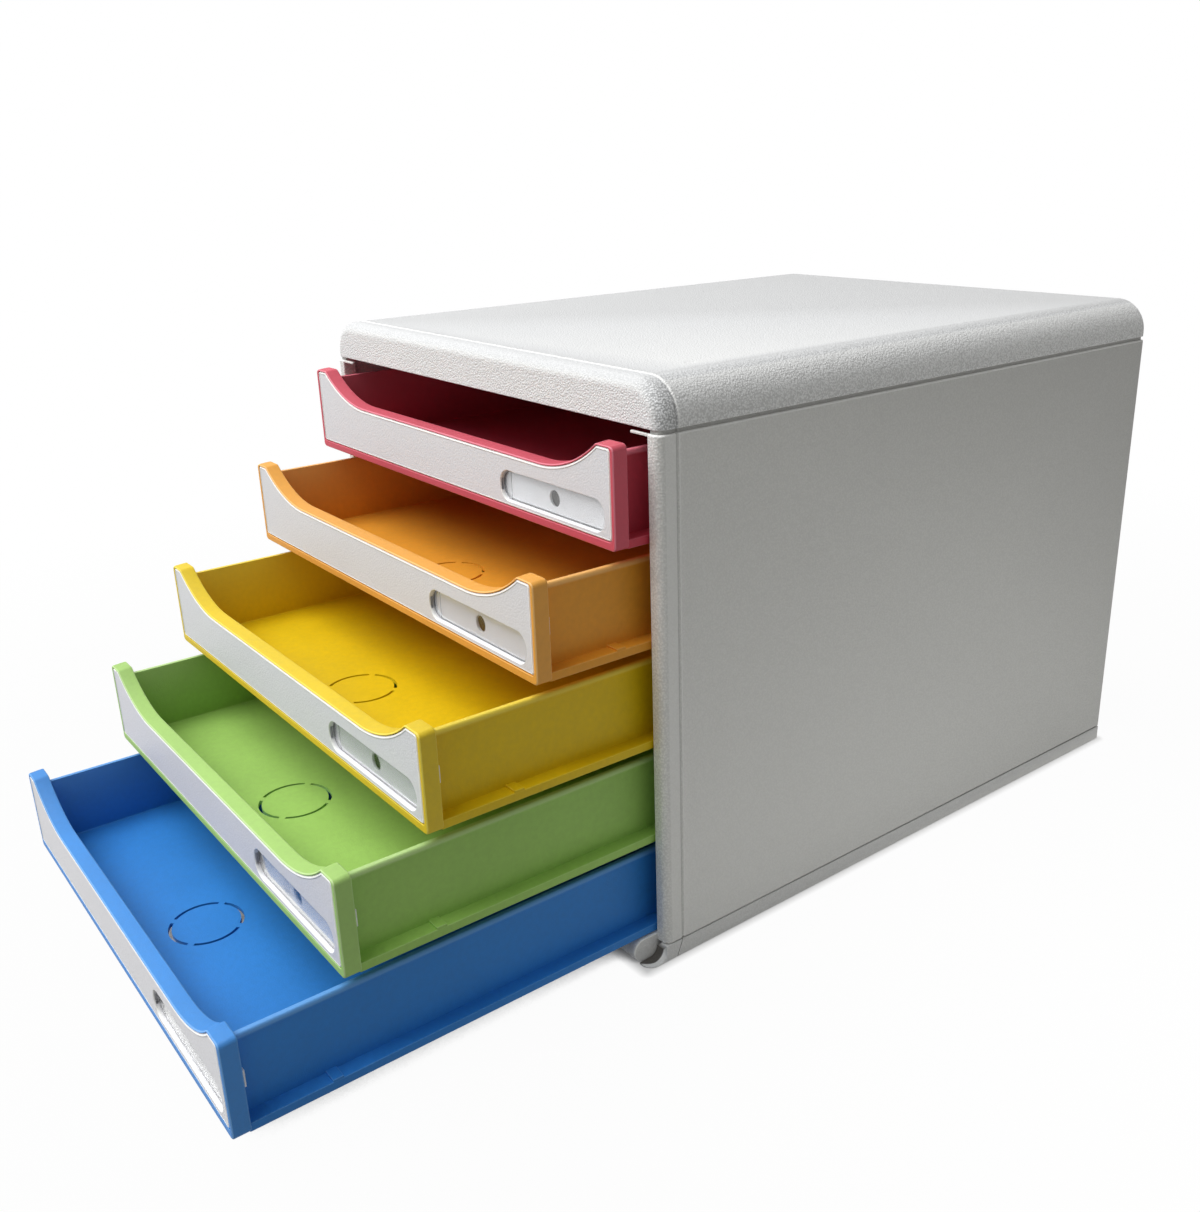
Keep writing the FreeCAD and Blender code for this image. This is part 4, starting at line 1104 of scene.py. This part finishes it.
def label_outline(grow):
    """The label cup's outline, moved outward by grow."""
    radius = LABEL_RADIUS + grow
    left, right = LABEL_LEFT - grow, LABEL_RIGHT + grow
    bottom, top = LABEL_BOTTOM - grow, LABEL_TOP + grow
    points = [(LABEL_MIDDLE[0] + across, bottom) for across in LABEL_RUN]
    points += arc(right - radius, bottom + radius, radius, -90, 0, 10)
    points += arc(right - radius, top - radius, radius, 0, 90, 10)
    points += [(LABEL_MIDDLE[0] - across, top) for across in LABEL_RUN]
    points += arc(left + radius, top - radius, radius, 90, 180, 10)
    return points + arc(left + radius, bottom + radius, radius, 180, 270, 10)


def hole_outline(radius):
    """A round outline in the middle of the cup, point for point with the cup's own outline."""
    across, up = LABEL_MIDDLE
    angles = [math.atan2(z - up, x - across) for x, z in label_outline(0.0)]
    return [(across + radius * math.cos(a), up + radius * math.sin(a)) for a in angles]


plate_abs = grained_abs("grained_abs_face_plates", "#DEDEE2", 0.8, 0.1, 0.46, (0.1, 0.08, 0.1))

# From the plate's back round its border to the sunk field: depth, outline and the light painted
# there, a highlight above zero and shade below
PLATE_RINGS = (
    (2.0, plate_outline(0.15), 0.0),
    (1.85, plate_outline(0.0), 0.0),
    (0.75, plate_outline(0.0), 0.0),
    (0.6, plate_outline(0.04), 1.0),
    (0.08, plate_outline(0.52), 1.0),
    (0.0, plate_outline(0.65), 1.0),
    (0.0, plate_outline(0.95), 0.7),
    (0.1, plate_outline(1.05), -0.25),
    (0.17, plate_outline(1.2), -0.3),
    (0.16, plate_outline(1.45), 0.0),
)
plate_block = shell(
    [standing(outline, back) for back, outline, _ in PLATE_RINGS],
    [painted_light for _, _, painted_light in PLATE_RINGS],
)
recess_tool = shell(
    [
        standing(label_outline(grow), back)
        for back, grow in ((-1.0, 0.5), (0.16, 0.45), (0.22, 0.25), (0.6, 0.0), (5.0, 0.0))
    ]
)
# A highlight is painted on the cup's lower lip, where it catches the light, and shade on its upper
# lip
paint_light(recess_tool, 1.0, along=(0.1, 0.3), up=(0.0, LABEL_BOTTOM + 1.0))
paint_light(recess_tool, -0.6, along=(0.2, 0.7), up=(LABEL_TOP - 1.0, FRONT_HEIGHT))
nail_tool = soft_block(*NAIL_SLOT, 0.1)
# Shade is painted in the nail slot
paint_light(nail_tool, -1.0)
# Round the cup's wall: down its outside, through the hole and up to the step for the window
cup_rings = (
    (2.0, label_outline(0.9)),
    (4.3, label_outline(0.9)),
    (4.6, label_outline(0.6)),
    (4.6, hole_outline(HOLE_RADIUS + HOLE_BEVEL)),
    (4.4, hole_outline(HOLE_RADIUS)),
    (3.6, hole_outline(HOLE_RADIUS)),
    (3.4, hole_outline(HOLE_RADIUS + HOLE_BEVEL)),
    (3.4, label_outline(-0.8)),
    (3.0, label_outline(-0.8)),
    (3.0, label_outline(0.0)),
    (2.0, label_outline(0.0)),
)
cup_shell = [standing(outline, back) for back, outline in cup_rings]
# The cup carries painted shade
cup = shell(cup_shell, [CUP_SHADE] * len(cup_rings), looped=True)
plate_parts = [cut(plate_block, recess_tool, nail_tool), cup]
# Each clip is painted pale all over, a painted highlight
for hand in (-1, 1):
    clip_rings = [[(hand * x, y, level) for x, y in CLIP_PLAN] for level in CLIP_LEVELS]
    plate_parts.append(shell(clip_rings, [1.0] * len(CLIP_LEVELS)))
plate_mesh = joined(plate_parts)


# Label windows: clear polystyrene panes with a ground edge and a scored line near one end. Each
# lies on the step inside its cup, over the place for a paper label.

# Depths of the pane, each with how far it is grown past the label's outline
WINDOW_RINGS = ((3.0, -0.3), (2.85, -0.15), (2.15, -0.15), (2.0, -0.3))
SCORE = (55.0, 55.35, 1.8, 2.15, 4.0, 21.0)  # the scored line's sides, depths and levels
clear, tree = new_material("clear_polystyrene")
place = add_node(tree, "ShaderNodeTexCoord").outputs["Object"]
haze = add_node(tree, "ShaderNodeTexNoise", {"Vector": place, "Scale": 90.0, "Detail": 2.0})
smear = add_node(
    tree, "ShaderNodeMapRange", {"Value": haze.outputs["Fac"], 3: 0.03, 4: 0.14}
)
ripple = add_node(
    tree,
    "ShaderNodeBump",
    {"Strength": 0.2, "Distance": 0.05 * MM, "Height": haze.outputs["Fac"]},
)
# Clear polystyrene, moulded and polished: bends light strongly and reflects the room sharply
pane = add_node(
    tree,
    "ShaderNodeBsdfPrincipled",
    {
        "Base Color": linear("#FAFBFB"),
        "Roughness": smear.outputs[0],
        "IOR": 1.59,
        "Specular IOR Level": 0.3,
        "Transmission Weight": 1.0,
        "Normal": ripple.outputs[0],
    },
)
# Lamplight goes straight through the pane, so that the cup behind it is as bright as the plate
rays = add_node(tree, "ShaderNodeLightPath")
passing = add_node(tree, "ShaderNodeBsdfTransparent", {"Color": linear("#F4F5F5")})
mixed = add_node(
    tree,
    "ShaderNodeMixShader",
    {0: rays.outputs["Is Shadow Ray"], 1: pane.outputs[0], 2: passing.outputs[0]},
)
add_node(tree, "ShaderNodeOutputMaterial", {"Surface": mixed.outputs[0]})

window_block = shell([standing(label_outline(grow), back) for back, grow in WINDOW_RINGS])
window_mesh = cut(window_block, soft_block(*SCORE, 0.05))

for number in TRAY_COLOURS:
    low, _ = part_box(f"drawer_{number}_face_plate")
    stand = (0.0, low.y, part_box(f"drawer_{number}_tray")[0].z)
    plate = moulding(f"drawer_{number}_face_plate_clipped", [plate_mesh], plate_abs, stand)
    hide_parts(f"drawer_{number}_face_plate")
    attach(plate, f"drawer_{number}")
    window = moulding(f"drawer_{number}_label_pane", [window_mesh], clear, stand)
    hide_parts(f"drawer_{number}_label_window")
    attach(window, f"drawer_{number}")
